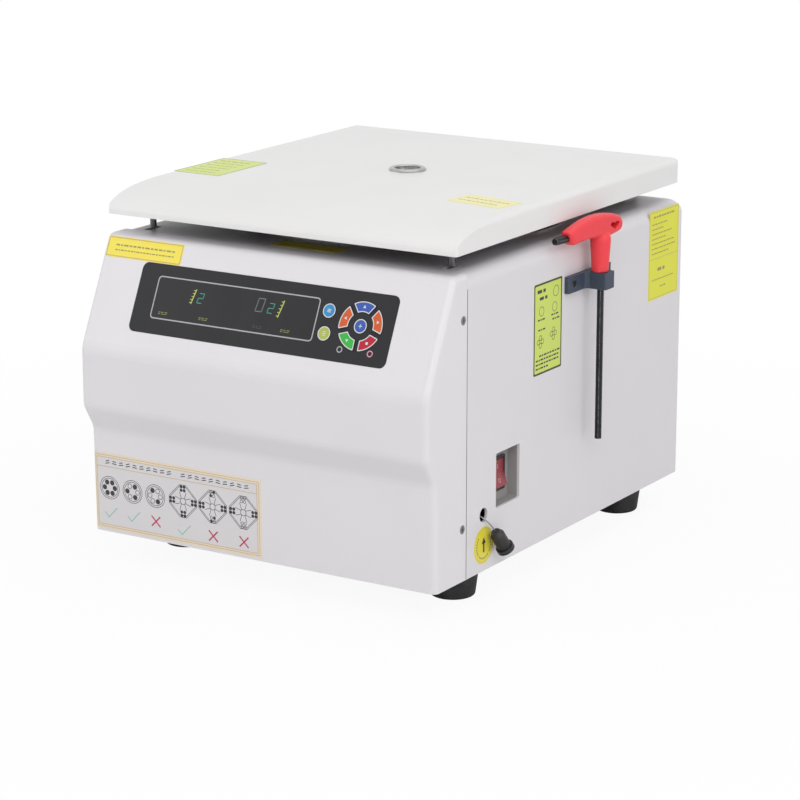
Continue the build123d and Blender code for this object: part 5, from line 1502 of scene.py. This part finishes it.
@dataclass
class LoadingLabel:
    """The pale label low on the front: a ruled head, then rotors drawn loaded and half loaded."""

    width: float = 182.2 * MM
    height: float = 71.5 * MM
    left: float = -178.6 * MM
    foot: float = 2.5 * MM
    thick: float = 0.15 * MM
    layer: float = 0.05 * MM
    border: float = 3.9 * MM
    border_line: float = 0.5 * MM
    band: float = 58.6 * MM
    dash_y: float = 63.2 * MM
    dash_x: tuple[float, float] = (16.0 * MM, 167.0 * MM)
    corner: float = 1.2 * MM
    small_rim: float = 0.84
    small_holes: float = 0.52
    large_rim: float = 1.7 * MM
    dash_count: int = 21
    dash_line: float = 0.85 * MM
    dash_rises: tuple[float, ...] = (0.5 * MM, -0.2 * MM, 0.3 * MM)
    dash_rows: tuple[Point, ...] = ((1.0 * MM, 1.5 * MM), (-1.1 * MM, 1.9 * MM))
    tick: tuple[Point, ...] = ((-6.2 * MM, 0.2 * MM), (-2.0 * MM, -4.2 * MM), (7.4 * MM, 5.6 * MM))
    tick_line: float = 0.85 * MM
    cross_reach: float = 4.3 * MM
    cross_line: float = 1.3 * MM
    drawings_y: float = 39.2 * MM
    small_x: tuple[float, ...] = (17.6 * MM, 42.9 * MM, 68.0 * MM)
    large_x: tuple[float, ...] = (98.4 * MM, 130.4 * MM, 163.2 * MM)
    small_radius: float = 10.8 * MM
    hole_radius: float = 2.4 * MM
    large_radius: float = 15.2 * MM
    small_marks_y: float = 15.6 * MM
    large_marks_y: float = 12.2 * MM
    tube_radius: float = 1.55 * MM
    tube_offset: float = 1.65 * MM
    bucket_half: float = 3.5 * MM
    hub_radius: float = 3.1 * MM
    arm: tuple[float, float] = (2.6 * MM, 1.8 * MM)
    line: float = 0.48 * MM
    corner_cuts: tuple[float, ...] = (0.7 * MM, 1.5 * MM, 2.4 * MM, 3.4 * MM, 4.6 * MM)

    def build(self, face: Face, bend: Callable[[Vector], Vector]) -> None:
        """Makes the label.

        Args:
            face: the front's lower face, from the middle of the case's bottom edge.
            bend: lays a point on the front.
        """
        sheet = Sheet("loading_label", face.shifted(self.left, self.foot), bend, self.corner_cuts)
        sheet.plate(self._inset(0.0), 0.0, self.thick, Palette.PEACH)
        sheet.plate(self._inset(self.border), self.thick, self.low, Palette.LABEL_GREY)
        line = self.border_line
        middle = self.border * 0.5
        sheet.ring(self._inset(middle), self._inset(middle + line), self.thick, self.low,
                   Palette.OCHRE)
        sheet.ring(self._inset(self.border), self._inset(self.border + line), self.low, self.high,
                   Palette.OCHRE)
        sheet.plate(stroke((self.border, self.band), (self.width - self.border, self.band), line),
                    self.low, self.high, Palette.OCHRE)
        self._dashes(sheet)
        for x, filled in zip(self.small_x, ((0, 1, 2, 3, 4, 5), (1, 3, 5), (2, 5))):
            self._small_rotor(sheet, x, filled)
        for x, share in zip(self.large_x, ((4, 4, 4, 4), (4, 2, 4, 2), (4, 0, 4, 0))):
            self._large_rotor(sheet, x, share)
        for x, good in zip(self.small_x, (True, True, False)):
            self._mark(sheet, x, self.small_marks_y, good)
        for x, good in zip(self.large_x, (True, False, False)):
            self._mark(sheet, x, self.large_marks_y, good)
        sheet.build("case", "moulding")

    @property
    def low(self) -> float:
        """The height of the printed ground."""
        return self.thick + self.layer

    @property
    def high(self) -> float:
        """The height of the drawings."""
        return self.low + self.layer

    def _inset(self, depth: float) -> list[Point]:
        """The label's outline, drawn in by depth."""
        edges = rectangle(depth, self.width - depth, depth, self.height - depth)
        return rounded(edges, self.corner)

    def _dashes(self, sheet: Sheet) -> None:
        """Draws the head's row of short slanting dashes, with a gap at its middle.

        Args:
            sheet: the label's sheet.
        """
        first, last = self.dash_x
        for index in range(self.dash_count):
            if index == self.dash_count // 2:
                continue
            x = first + (last - first) * index / (self.dash_count - 1)
            rise = self.dash_rises[index % len(self.dash_rises)]
            for up, half in self.dash_rows:
                y = self.dash_y + up
                sheet.plate(stroke((x - half, y - rise), (x + half, y + rise), self.dash_line),
                            self.low, self.high, Palette.PRINT_DARK)

    def _small_rotor(self, sheet: Sheet, x: float, filled: Sequence[int]) -> None:
        """Draws a six-hole rotor.

        Args:
            sheet: the label's sheet.
            x: its centre across.
            filled: which holes hold a tube.
        """
        y = self.drawings_y
        for share in (1.0, self.small_rim):
            self._hoop(sheet, x, y, self.small_radius * share)
        reach = self.small_radius * self.small_holes
        for hole in range(6):
            turn = math.radians(60 * hole)
            hx = x + reach * math.cos(turn)
            hy = y + reach * math.sin(turn)
            if hole in filled:
                sheet.plate(circle(hx, hy, self.hole_radius, 24), self.low, self.high,
                            Palette.PRINT_DARK)
            else:
                self._hoop(sheet, hx, hy, self.hole_radius)

    def _hoop(self, sheet: Sheet, x: float, y: float, radius: float) -> None:
        """Draws a thin circle."""
        sheet.ring(circle(x, y, radius, 32), circle(x, y, radius - self.line, 32), self.low, self.high,
                   Palette.PRINT_DARK)

    def _large_rotor(self, sheet: Sheet, x: float, filled: Sequence[int]) -> None:
        """Draws a four-bucket rotor.

        Args:
            sheet: the label's sheet.
            x: its centre across.
            filled: how many tubes each bucket holds, anticlockwise from the right.
        """
        y = self.drawings_y
        radius = self.large_radius
        side = self.bucket_half
        reach = radius - side
        inner_end, inner_side = self.arm
        for inset in (0.0, self.large_rim):
            edge = radius - inset
            points = [(edge, -side), (edge, side), (side, edge), (-side, edge), (-edge, side),
                      (-edge, -side), (-side, -edge), (side, -edge)]
            outer = [(x + px, y + py) for px, py in points]
            inner = [(x + px * (1 - self.line / edge), y + py * (1 - self.line / edge))
                     for px, py in points]
            sheet.ring(outer, inner, self.low, self.high, Palette.PRINT_DARK)
        self._hoop(sheet, x, y, self.hub_radius)
        for bucket, tubes in enumerate(filled):
            turn = math.radians(90 * bucket)
            cos, sin = math.cos(turn), math.sin(turn)
            for way in (-1, 1):
                near = (x + inner_end * cos - way * inner_side * sin,
                        y + inner_end * sin + way * inner_side * cos)
                far = (x + (reach - side) * cos - way * side * sin,
                       y + (reach - side) * sin + way * side * cos)
                sheet.plate(stroke(near, far, self.line), self.low, self.high, Palette.PRINT_DARK)
            for tube, (across, along) in enumerate(((-1, 1), (1, -1), (1, 1), (-1, -1))):
                px = x + reach * cos + (across * cos - along * sin) * self.tube_offset
                py = y + reach * sin + (across * sin + along * cos) * self.tube_offset
                if tube < tubes:
                    sheet.plate(circle(px, py, self.tube_radius, 16), self.low, self.high,
                                Palette.PRINT_DARK)
                else:
                    self._hoop(sheet, px, py, self.tube_radius)

    def _mark(self, sheet: Sheet, x: float, y: float, good: bool) -> None:
        """Draws a tick or a cross under a rotor.

        Args:
            sheet: the label's sheet.
            x: its centre across.
            y: its centre up.
            good: a tick if true.
        """
        if good:
            start, corner, end = ((x + across, y + up) for across, up in self.tick)
            sheet.plate(bent_stroke(start, corner, end, self.tick_line), self.low, self.high,
                        Palette.MARK_TEAL)
            return
        reach = self.cross_reach
        for way in (-1, 1):
            bar = stroke((x - reach, y - way * reach), (x + reach, y + way * reach), self.cross_line)
            sheet.plate(bar, self.low, self.high + way * self.layer / 4, Palette.MARK_CRIMSON)


@dataclass
class PlainLabel:
    """A coloured label with a border, rules, rows of broken lines and circles.

    Rules are (start, end, height), rows are (start, end, height, stroke in mm) and hoops are
    (across, height, radius in mm), with places as shares of the label's width and height.
    """

    name: str
    width: float
    height: float
    ground: Palette
    border: Palette
    body: str
    slot: str
    radius: float = 1.2 * MM
    inset: float = 1.0 * MM
    line: float = 0.6 * MM
    rules: tuple[tuple[float, float, float], ...] = ()
    rows: tuple[tuple[float, float, float, float], ...] = ()
    hoops: tuple[tuple[float, float, float], ...] = ()
    rule_width: float = 0.5 * MM
    lengths: tuple[float, ...] = (2.6, 1.4, 3.3, 1.9, 2.3)
    gap: float = 0.8
    divisions: tuple[int, int] = (40, 12)
    mark: Palette = Palette.LABEL_LINE
    thick: float = 0.12 * MM
    layer: float = 0.05 * MM

    def build(self, face: Face, bend: Callable[[Vector], Vector] | None = None) -> None:
        """Makes the label.

        Args:
            face: where its lower left corner goes.
            bend: lays a point on a curved surface.
        """
        across, up = self.divisions
        cuts = [self.width * step / across for step in range(1, across)] if bend else ()
        rises = [self.height * step / up for step in range(1, up)] if bend else ()
        sheet = Sheet(self.name, face, bend, cuts, rises)
        self.fill(sheet)
        sheet.build(self.body, self.slot)

    def fill(self, sheet: Sheet) -> None:
        """Adds the ground, the border, the rules, the broken rows and the circles.

        Args:
            sheet: the sheet to add them to.
        """
        sheet.plate(rounded(rectangle(0, self.width, 0, self.height), self.radius), 0.0, self.thick,
                    self.ground)
        low, high = self.thick, self.thick + self.layer
        edge = self.inset
        outer = rounded(rectangle(edge, self.width - edge, edge, self.height - edge), self.radius)
        edge += self.line
        inner = rounded(rectangle(edge, self.width - edge, edge, self.height - edge), self.radius)
        sheet.ring(outer, inner, low, high, self.border)
        for start, end, height in self.rules:
            sheet.plate(stroke((start * self.width, height * self.height),
                               (end * self.width, height * self.height), self.rule_width),
                        low, high, self.border)
        for start, end, height, size in self.rows:
            self._broken_row(sheet, start * self.width, end * self.width, height * self.height,
                             size * MM)
        for x, y, radius in self.hoops:
            centre = (x * self.width, y * self.height)
            sheet.ring(circle(*centre, radius * MM, 28),
                       circle(*centre, radius * MM - self.rule_width, 28), low, high, self.mark)

    def _broken_row(self, sheet: Sheet, start: float, end: float, y: float, size: float) -> None:
        """Adds one row of short strokes of uneven length.

        Args:
            sheet: the label's sheet.
            start: where the row starts across.
            end: where it ends.
            y: its height.
            size: the strokes' width; their lengths follow it.
        """
        for length in cycle(self.lengths):
            stop = start + length * size
            if stop >= end:
                break
            sheet.plate(stroke((start + size / 2, y), (stop - size / 2, y), size), self.thick,
                        self.thick + self.layer, self.mark)
            start = stop + size * self.gap


@dataclass
class ArrowLabel:
    """The round label under the release wire, with an arrow up to it."""

    radius: float = 16.5 * MM
    thick: float = 0.12 * MM
    layer: float = 0.05 * MM
    sides: int = 72
    border: tuple[float, float] = (15.3 * MM, 14.9 * MM)
    stem: float = 1.1 * MM
    foot: float = -6.5 * MM
    barb: Point = (3.4 * MM, 1.5 * MM)
    tip: float = 7.0 * MM
    dash_radii: tuple[float, float] = (12.6 * MM, 11.0 * MM)
    dash_middles: tuple[int, ...] = (180, 0, 270)
    dash_reach: int = 42
    dash_step: int = 12

    def build(self, face: Face) -> None:
        """Makes the label.

        Args:
            face: the face, with its origin at the label's centre.
        """
        sheet = Sheet("release_label", face)
        sheet.plate(circle(0, 0, self.radius, self.sides), 0.0, self.thick, Palette.DEEP_YELLOW)
        low, high = self.thick, self.thick + self.layer
        outer, inner = (circle(0, 0, radius, self.sides) for radius in self.border)
        sheet.ring(outer, inner, low, high, Palette.OCHRE)
        wide, neck = self.barb
        sheet.plate([(-self.stem, self.foot), (self.stem, self.foot), (self.stem, neck), (wide, neck),
                     (0.0, self.tip), (-wide, neck), (-self.stem, neck)], low, high,
                    Palette.PRINT_DARK)
        for middle in self.dash_middles:
            last = middle + self.dash_reach - self.dash_step // 2
            for start in range(middle - self.dash_reach, last, self.dash_step):
                sheet.plate(self._dash(start), low, high, Palette.LABEL_LINE)
        sheet.build("case", "white_paint")

    def _dash(self, start: int) -> list[Point]:
        """One curved dash.

        Args:
            start: the angle where it starts, in degrees.

        Returns:
            Its outline.
        """
        outer, inner = self.dash_radii
        third = self.dash_step / 3
        angles = [math.radians(start + third * step) for step in range(3)]
        return [(math.cos(angle) * radius, math.sin(angle) * radius)
                for radius, turns in ((outer, angles), (inner, angles[::-1])) for angle in turns]


@dataclass
class Labels:
    """Every label, each on the face that carries it.

    Places are of a label's lower left corner, from the foot of the face that carries it: across
    from the middle of the case, or back from its front.
    """

    lift: float = 0.02 * MM
    probe: float = 0.05
    slope_place: Point = (-176.8 * MM, 83.3 * MM)
    tall_place: Point = (163.0 * MM, 154.0 * MM)
    wide_place: Point = (379.0 * MM, 180.0 * MM)
    arrow_centre: Point = (79.5 * MM, 23.3 * MM)
    lid_left_place: Point = (-178.0 * MM, 127.0 * MM)
    lid_right_place: Point = (106.0 * MM, 137.0 * MM)
    lid_right_turn: float = -10.0
    deck_place: Point = (-25.0 * MM, 58.0 * MM)

    def __post_init__(self) -> None:
        """Finds the case's faces from the nodes' boxes."""
        low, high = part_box("case_shell")
        self.centre_x = (low.x + high.x) / 2
        self.right = high.x
        self.bottom = low.z
        self.deck = high.z
        self.front_y = front_middle().y
        self.lid_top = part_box("lid_shell")[1].z
        self.tree = node_tree("front_panel")

    def on_front(self, point: Vector) -> Vector:
        """Lays a point of the lower front on the moulding.

        Args:
            point: the flat point.

        Returns:
            The point on the moulding, as high over it as it was over the flat face.
        """
        start = Vector((point.x, point.y - self.probe, point.z))
        lift = self.front_y - point.y
        hit = self.tree.ray_cast(start, Y_AXIS)
        if hit[0] is None:
            return point
        return hit[0] - Vector((0.0, lift + self.lift, 0.0))

    def on_slope(self, face: Face) -> Callable[[Vector], Vector]:
        """Makes a function that lays a point of the control face on the moulding.

        Args:
            face: the control face.

        Returns:
            The function.
        """
        def lay(point: Vector) -> Vector:
            """Drops a point along the face's normal, keeping its height.

            Args:
                point: the flat point.

            Returns:
                The point on the moulding.
            """
            height = (point - face.origin).dot(face.out)
            start = point + face.out * self.probe
            hit = self.tree.ray_cast(start, -face.out)
            return point if hit[0] is None else hit[0] + face.out * (height + self.lift)
        return lay

    def build(self, slope: Face) -> None:
        """Makes every label.

        Args:
            slope: the control face.
        """
        self._stick_on_front(slope)
        self._stick_on_side()
        self._stick_on_top()

    def _stick_on_front(self, slope: Face) -> None:
        """Makes the labels of the moulded front.

        Args:
            slope: the control face.
        """
        front = Face(Vector((self.centre_x, self.front_y, self.bottom)), X_AXIS, Z_AXIS)
        LoadingLabel().build(front, self.on_front)
        label = PlainLabel("slope_label", 82.5 * MM, 19.0 * MM, Palette.YELLOW, Palette.OCHRE,
                           "case", "moulding", inset=0.7 * MM, line=0.9 * MM)
        label.rows = ((0.12, 0.93, 0.60, 1.5), (0.12, 0.90, 0.36, 1.1))
        label.build(slope.shifted(*self.slope_place), self.on_slope(slope))

    def _stick_on_side(self) -> None:
        """Makes the three labels of the right side."""
        side = Face(Vector((self.right + self.lift, self.front_y, self.bottom)), Y_AXIS, Z_AXIS)
        tall = PlainLabel("side_label_tall", 50.0 * MM, 82.0 * MM, Palette.YELLOW_GREEN,
                          Palette.PRINT_DARK, "case", "white_paint", radius=1.5 * MM,
                          inset=0.2 * MM, line=1.7 * MM, mark=Palette.PRINT_DARK)
        tall.rows = (
            (0.12, 0.60, 0.91, 3.0), (0.20, 0.52, 0.83, 2.8), (0.14, 0.42, 0.60, 1.4),
            (0.62, 0.92, 0.61, 1.4), (0.66, 0.92, 0.56, 1.4), (0.16, 0.42, 0.49, 1.4),
            (0.20, 0.94, 0.205, 1.5), (0.08, 0.94, 0.16, 1.5), (0.08, 0.94, 0.115, 1.5),
            (0.08, 0.60, 0.07, 1.5))
        petals = tuple((x + across, y + up, 2.4) for x, y in ((0.24, 0.36), (0.70, 0.40))
                       for across, up in ((0.07, 0.0), (-0.07, 0.0), (0.0, 0.043), (0.0, -0.043)))
        tall.hoops = (*petals, (0.27, 0.69, 4.4), (0.74, 0.69, 4.4), (0.78, 0.86, 5.0))
        tall.build(side.shifted(*self.tall_place))
        wide = PlainLabel("side_label_wide", 60.0 * MM, 84.0 * MM, Palette.LEMON, Palette.OCHRE,
                          "case", "white_paint", radius=1.5 * MM, rules=((0.03, 0.97, 0.46),))
        ends = (0.62, 0.52, 0.78, 0.58, 0.84, 0.92, 0.66)
        lines = tuple((0.10, end, 0.85 - 0.055 * row, 1.1) for row, end in enumerate(ends))
        wide.rows = ((0.14, 0.90, 0.93, 1.7), *lines, (0.30, 0.74, 0.33, 3.0),
                     (0.12, 0.86, 0.22, 1.0), (0.40, 0.60, 0.13, 1.2))
        wide.build(side.shifted(*self.wide_place))
        ArrowLabel().build(side.shifted(*self.arrow_centre))

    def _stick_on_top(self) -> None:
        """Makes the labels of the lid and the one on the deck under it."""
        lid = Face(Vector((self.centre_x, self.front_y, self.lid_top + self.lift)), X_AXIS, Y_AXIS)
        left = PlainLabel("lid_label_left", 50.0 * MM, 79.0 * MM, Palette.YELLOW_GREEN,
                          Palette.GREY_LINE, "lid", "lid_paint", inset=0.2 * MM, line=1.1 * MM)
        left.rows = ((0.12, 0.88, 0.84, 2.2), (0.12, 0.88, 0.70, 1.6), (0.12, 0.80, 0.56, 1.6),
                     (0.12, 0.88, 0.42, 1.6), (0.12, 0.70, 0.28, 1.6), (0.12, 0.88, 0.14, 1.6))
        left.build(lid.shifted(*self.lid_left_place))
        right = PlainLabel("lid_label_right", 59.0 * MM, 34.0 * MM, Palette.SOFT_YELLOW,
                           Palette.YELLOW, "lid", "lid_paint")
        right.rows = ((0.08, 0.92, 0.66, 1.6), (0.08, 0.84, 0.34, 1.6))
        right.build(lid.shifted(*self.lid_right_place, self.lid_right_turn))
        deck = Face(Vector((self.centre_x, self.front_y, self.deck + self.lift)), X_AXIS, Y_AXIS)
        under = PlainLabel("deck_label", 68.0 * MM, 24.0 * MM, Palette.YELLOW, Palette.OCHRE,
                           "case", "white_paint", rows=((0.08, 0.92, 0.30, 1.4),))
        under.build(deck.shifted(*self.deck_place))


def node_tree(node: str) -> BVHTree:
    """Makes a search tree over a node's mesh.

    Args:
        node: the node's name.

    Returns:
        The tree.
    """
    mesh = frame["nodes"][node].data
    return BVHTree.FromPolygons([vertex.co for vertex in mesh.vertices],
                                [list(polygon.vertices) for polygon in mesh.polygons])


@dataclass
class Switch:
    """The mains switch in its recess."""

    mark: float = 1.9 * MM
    line: float = 0.6 * MM
    thick: float = 0.05 * MM
    lift: float = 0.02 * MM
    probe: float = 10.0 * MM

    def __post_init__(self) -> None:
        """Finds the plane that the signs are drawn on, outside the rocker, and the rocker."""
        self.low, self.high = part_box("power_rocker")
        middle = (self.low + self.high) / 2
        self.face = Face(Vector((self.high.x + self.probe, middle.y, middle.z)), Y_AXIS, Z_AXIS)
        self.tree = node_tree("power_rocker")

    def dress(self) -> None:
        """Finishes the tray, frame and rocker."""
        # The tray's finish is darker than the plastic: it carries painted shade of the recess.
        dress("switch_tray", Palette.TRAY)
        dress("power_switch_housing", Palette.BLACK_PLASTIC)
        dress("power_rocker", Palette.ROCKER)

    def print_signs(self) -> None:
        """Prints a stroke on the rocker's upper half and a ring on its lower half."""
        sheet = Sheet("rocker_signs", self.face, self._lay)
        rise = (self.high.z - self.low.z) / 4
        sheet.ring(circle(0.0, -rise, self.mark, 24), circle(0.0, -rise, self.mark - self.line, 24),
                   0.0, self.thick, Palette.PRINT_PINK)
        sheet.plate(stroke((0.0, rise - self.mark), (0.0, rise + self.mark), self.line), 0.0,
                    self.thick, Palette.PRINT_PINK)
        sheet.build("rocker", "rocker_red")

    def _lay(self, point: Vector) -> Vector:
        """Drops a point inwards on the rocker, keeping its height.

        Args:
            point: the flat point.

        Returns:
            The point on the rocker.
        """
        hit = self.tree.ray_cast(point, -X_AXIS)
        height = point.x - self.face.origin.x + self.lift
        return point if hit[0] is None else hit[0] + X_AXIS * height


@dataclass
class ReleaseWire:
    """The emergency release: a steel wire out of the side, with a rubber plug."""

    route: tuple[tuple[float, float, float], ...] = (
        (145.0, 75.0, 92.1), (157.0, 76.1, 87.2), (169.0, 77.6, 82.3), (180.5, 79.6, 76.8),
        (186.3, 82.8, 70.7), (187.5, 86.6, 64.9))
    diameter: float = 1.2 * MM
    length: float = 0.0545

    def build(self) -> None:
        """Makes the wire along its route and dresses what is on it."""
        start = front_middle()
        points = [Vector(point) * MM + start for point in self.route]
        curve = bpy.data.curves.new("release_wire_line", "CURVE")
        curve.dimensions = "3D"
        spline = curve.splines.new("NURBS")
        spline.points.add(len(points) - 1)
        for place, point in zip(spline.points, points):
            place.co = (*point, 1.0)
        spline.order_u = 3
        spline.use_endpoint_u = True
        curve.bevel_depth = self.diameter / 2
        curve.use_fill_caps = True
        curve.materials.append(Palette.WIRE.material())
        wire = bpy.data.objects.new("release_wire_line", curve)
        bpy.context.scene.collection.objects.link(wire)
        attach(wire, "release_pull")
        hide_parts("release_wire")
        dress("release_plug", Palette.PLUG)
        dress("wire_ferrule", Palette.ZINC)
        tuple(points[0])
        LOG.info("made the release wire")


@dataclass
class HexKey:
    """The hexagon key and the clip that holds it.

    The grip is drawn along the key's short arm and up from it, with the arm's bend at 0, 0.
    """

    place: tuple[float, float, float] = (195.0 * MM, 257.0 * MM, 302.0 * MM)
    turn: float = math.radians(5.0)
    thick: float = 13.0 * MM
    edge: float = 3.8 * MM
    layers: int = 6
    spacing: float = 1.1 * MM
    trim: float = 0.01 * MM
    voxel: float = 0.75 * MM
    side: tuple[Point, ...] = (
        (-52.5, -6.8), (-45.6, -6.5), (-38.4, -5.7), (-28.0, -5.0), (-16.0, -5.5), (-6.0, -7.0),
        (8.0, -7.2), (15.0, -6.2), (24.0, -4.8), (27.0, -1.0), (27.0, 4.0), (22.5, 9.3),
        (14.0, 12.0), (-2.0, 14.2), (-15.5, 14.4), (-28.7, 13.2), (-40.5, 10.6), (-50.0, 8.3),
        (-58.5, 5.5))
    stem_x: float = -1.5 * MM
    stem_foot_radius: float = 7.5 * MM
    stem: tuple[Point, ...] = ((9.4, -10.0), (9.1, -7.0), (8.0, -4.0), (6.0, -1.5), (3.0, 0.0))
    eye: Point = (12.0 * MM, 1.8 * MM)
    eye_size: Point = (14.0 * MM, 7.2 * MM)

    def dress(self) -> None:
        """Finishes the key and clip."""
        dress("hex_key_blade", Palette.HEX_STEEL)
        dress("key_clip", Palette.CLIP)

    def build_grip(self) -> None:
        """Moulds the grip and its stem as one soft shape with a heart-shaped eye."""
        handle_low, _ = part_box("hex_key_handle")
        origin = Vector(self.place) + front_middle()
        along = Vector((math.sin(self.turn), math.cos(self.turn), 0.0))
        face = Face(origin, along, Z_AXIS)
        grip = Solid("hex_key_grip", face)
        outline = soft_outline([(x * MM, y * MM) for x, y in self.side], self.spacing, 4)
        for angle in quarter_turn(self.layers):
            inner = inset_outline(outline, self.edge * (1 - math.cos(angle)) + self.trim)
            half = self.thick / 2 - self.edge * (1 - math.sin(angle))
            grip.prism(inner, -half, half)
        foot = (self.stem_foot_radius, handle_low.z - origin.z)
        grip.turned([foot, *((radius * MM, y * MM) for radius, y in self.stem)], self.stem_x)
        piece = grip.place()
        remesh = piece.modifiers.new("join", "REMESH")
        remesh.mode = "VOXEL"
        remesh.voxel_size = self.voxel
        smooth = piece.modifiers.new("ease", "SMOOTH")
        smooth.iterations = 5
        cut_out(piece, self._eye_shape(face))
        hand_over(piece, Palette.GRIP, "hex_key", "hex_key_handle")

    def _eye_shape(self, face: Face) -> bpy.types.Object:
        """Makes the solid that the eye is cut with.

        Args:
            face: the grip's middle plane.

        Returns:
            A heart-shaped prism through the grip, to be removed afterwards.
        """
        points = []
        for step in range(48):
            turn = 2 * math.pi * step / 48
            x = math.sin(turn) ** 3
            y = (13 * math.cos(turn) - 5 * math.cos(2 * turn) - 2 * math.cos(3 * turn)
                 - math.cos(4 * turn) + 2.5) / 14.5
            points.append((self.eye[0] + x * self.eye_size[0] / 2,
                           self.eye[1] + y * self.eye_size[1] / 2))
        cutter = Solid("eye_cutter", face)
        cutter.prism(points, -self.thick, self.thick)
        return cutter.place()


@dataclass
class Studio:
    """Bench, light and camera."""

    camera_place: tuple[float, float, float] = (1399.34, -2009.07, 815.46)
    azimuth: float = 31.9819
    elevation: float = 14.6767
    focal_pixels: float = 2941.58
    image_pixels: float = 800.0
    sensor: float = 36.0
    floor_size: float = 14.0
    floor_colour: Colour = (0.86, 0.86, 0.86)
    floor_white: float = 0.93
    floor_fade: tuple[float, float] = (0.3, 0.9)
    world_light: float = 0.48
    lamps: tuple[tuple[str, tuple[float, float, float], float, float], ...] = (
        ("key_lamp", (1.7, -2.0, 2.5), 2.2, 40.0),
        ("fill_lamp", (-2.2, -1.6, 1.0), 2.0, 16.0),
        ("side_lamp", (2.8, -0.3, 1.0), 2.0, 13.0),
        ("top_lamp", (0.0, 0.5, 2.9), 2.6, 14.0),
    )
    lamp_target: tuple[float, float, float] = (0.0, 0.0, 0.18)

    def place_camera(self) -> None:
        """Puts the camera where the photograph was taken from."""
        data = bpy.data.cameras.new("camera")
        data.sensor_width = self.sensor
        data.lens = self.focal_pixels / self.image_pixels * self.sensor
        data.clip_end = 50.0
        camera = bpy.data.objects.new("camera", data)
        bpy.context.scene.collection.objects.link(camera)
        camera.location = Vector(self.camera_place) * MM + front_middle()
        camera.rotation_euler = (math.radians(90 - self.elevation), 0.0, math.radians(self.azimuth))
        bpy.context.scene.camera = camera

    def lay_floor(self) -> None:
        """Lays the pale floor, white to the camera and still taking the shadow."""
        half = self.floor_size / 2
        mesh = bpy.data.meshes.new("floor")
        mesh.from_pydata([(-half, -half, 0), (half, -half, 0), (half, half, 0), (-half, half, 0)], [],
                         [(0, 1, 2, 3)])
        floor = bpy.data.objects.new("floor", mesh)
        bpy.context.scene.collection.objects.link(floor)
        shader = Shader("floor")
        grain = shader.noise(3.0, 2.0)
        shader.set(Base_Color=shader.blend(grain, shade(self.floor_colour, 0.99), self.floor_colour),
                   Roughness=0.9, Specular_IOR_Level=0.1)
        seen = shader.node("ShaderNodeLightPath", {}, {}, "Is Camera Ray")
        away = shader.node("ShaderNodeVectorMath", {"operation": "LENGTH"}, {0: shader.place()},
                           "Value")
        white = self.floor_white + shader.between(away, *self.floor_fade) * (1 - self.floor_white)
        glow = shader.node("ShaderNodeEmission", {}, {"Color": (1.0, 1.0, 1.0, 1.0)})
        lit = Term(shader, shader.surface.outputs[0])
        mixed = shader.node("ShaderNodeMixShader", {}, {0: seen * white, 1: lit, 2: glow})
        shader.feed(shader.output.inputs[0], mixed)
        mesh.materials.append(shader.material)

    def hang_lamps(self) -> None:
        """Hangs the soft lamps: key from the front, a fill from each side, one overhead."""
        target = Vector(self.lamp_target)
        for name, place, size, power in self.lamps:
            data = bpy.data.lights.new(name, "AREA")
            data.size = size
            data.energy = power
            lamp = bpy.data.objects.new(name, data)
            bpy.context.scene.collection.objects.link(lamp)
            lamp.location = place
            lamp.rotation_euler = (target - lamp.location).to_track_quat("-Z", "Y").to_euler()

    def open_world(self) -> None:
        """Lights evenly from all round, and shows white to the camera and in reflections."""
        world = bpy.data.worlds.new("studio")
        bpy.context.scene.world = world
        world.use_nodes = True
        sky = Tree(world.node_tree)
        unseen = 1.0
        for ray in ("Is Camera Ray", "Is Glossy Ray", "Is Transmission Ray"):
            unseen = unseen * (1 - sky.node("ShaderNodeLightPath", {}, {}, ray))
        lit = sky.node("ShaderNodeBackground", {},
                       {"Color": (0.98, 0.98, 0.99, 1.0), "Strength": self.world_light})
        shown = sky.node("ShaderNodeBackground", {}, {"Strength": 1.0, "Color": (1.0, 1.0, 1.0, 1.0)})
        mixed = sky.node("ShaderNodeMixShader", {}, {0: unseen, 1: shown, 2: lit})
        sky.add("ShaderNodeOutputWorld", {}, {0: mixed})

    def build(self) -> None:
        """Sets up everything round the object."""
        self.place_camera()
        self.lay_floor()
        self.hang_lamps()
        self.open_world()
        bpy.context.scene.view_settings.view_transform = "Standard"


def main() -> None:
    """Builds and dresses the whole instrument."""
    logging.basicConfig(level=logging.INFO, format="%(message)s")
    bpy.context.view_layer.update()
    Studio().build()
    ReleaseWire().build()
    Body().dress()
    Drive().dress()
    lid = Lid()
    lid.dress()
    lid.build_cover()
    lid.build_strikers()
    controls = ControlFace()
    controls.dress()
    controls.print_lines()
    controls.print_keys()
    controls.light_figures()
    Labels().build(controls.face)
    switch = Switch()
    switch.dress()
    switch.print_signs()
    key = HexKey()
    key.dress()
    key.build_grip()


if __name__ == "__main__":
    main()
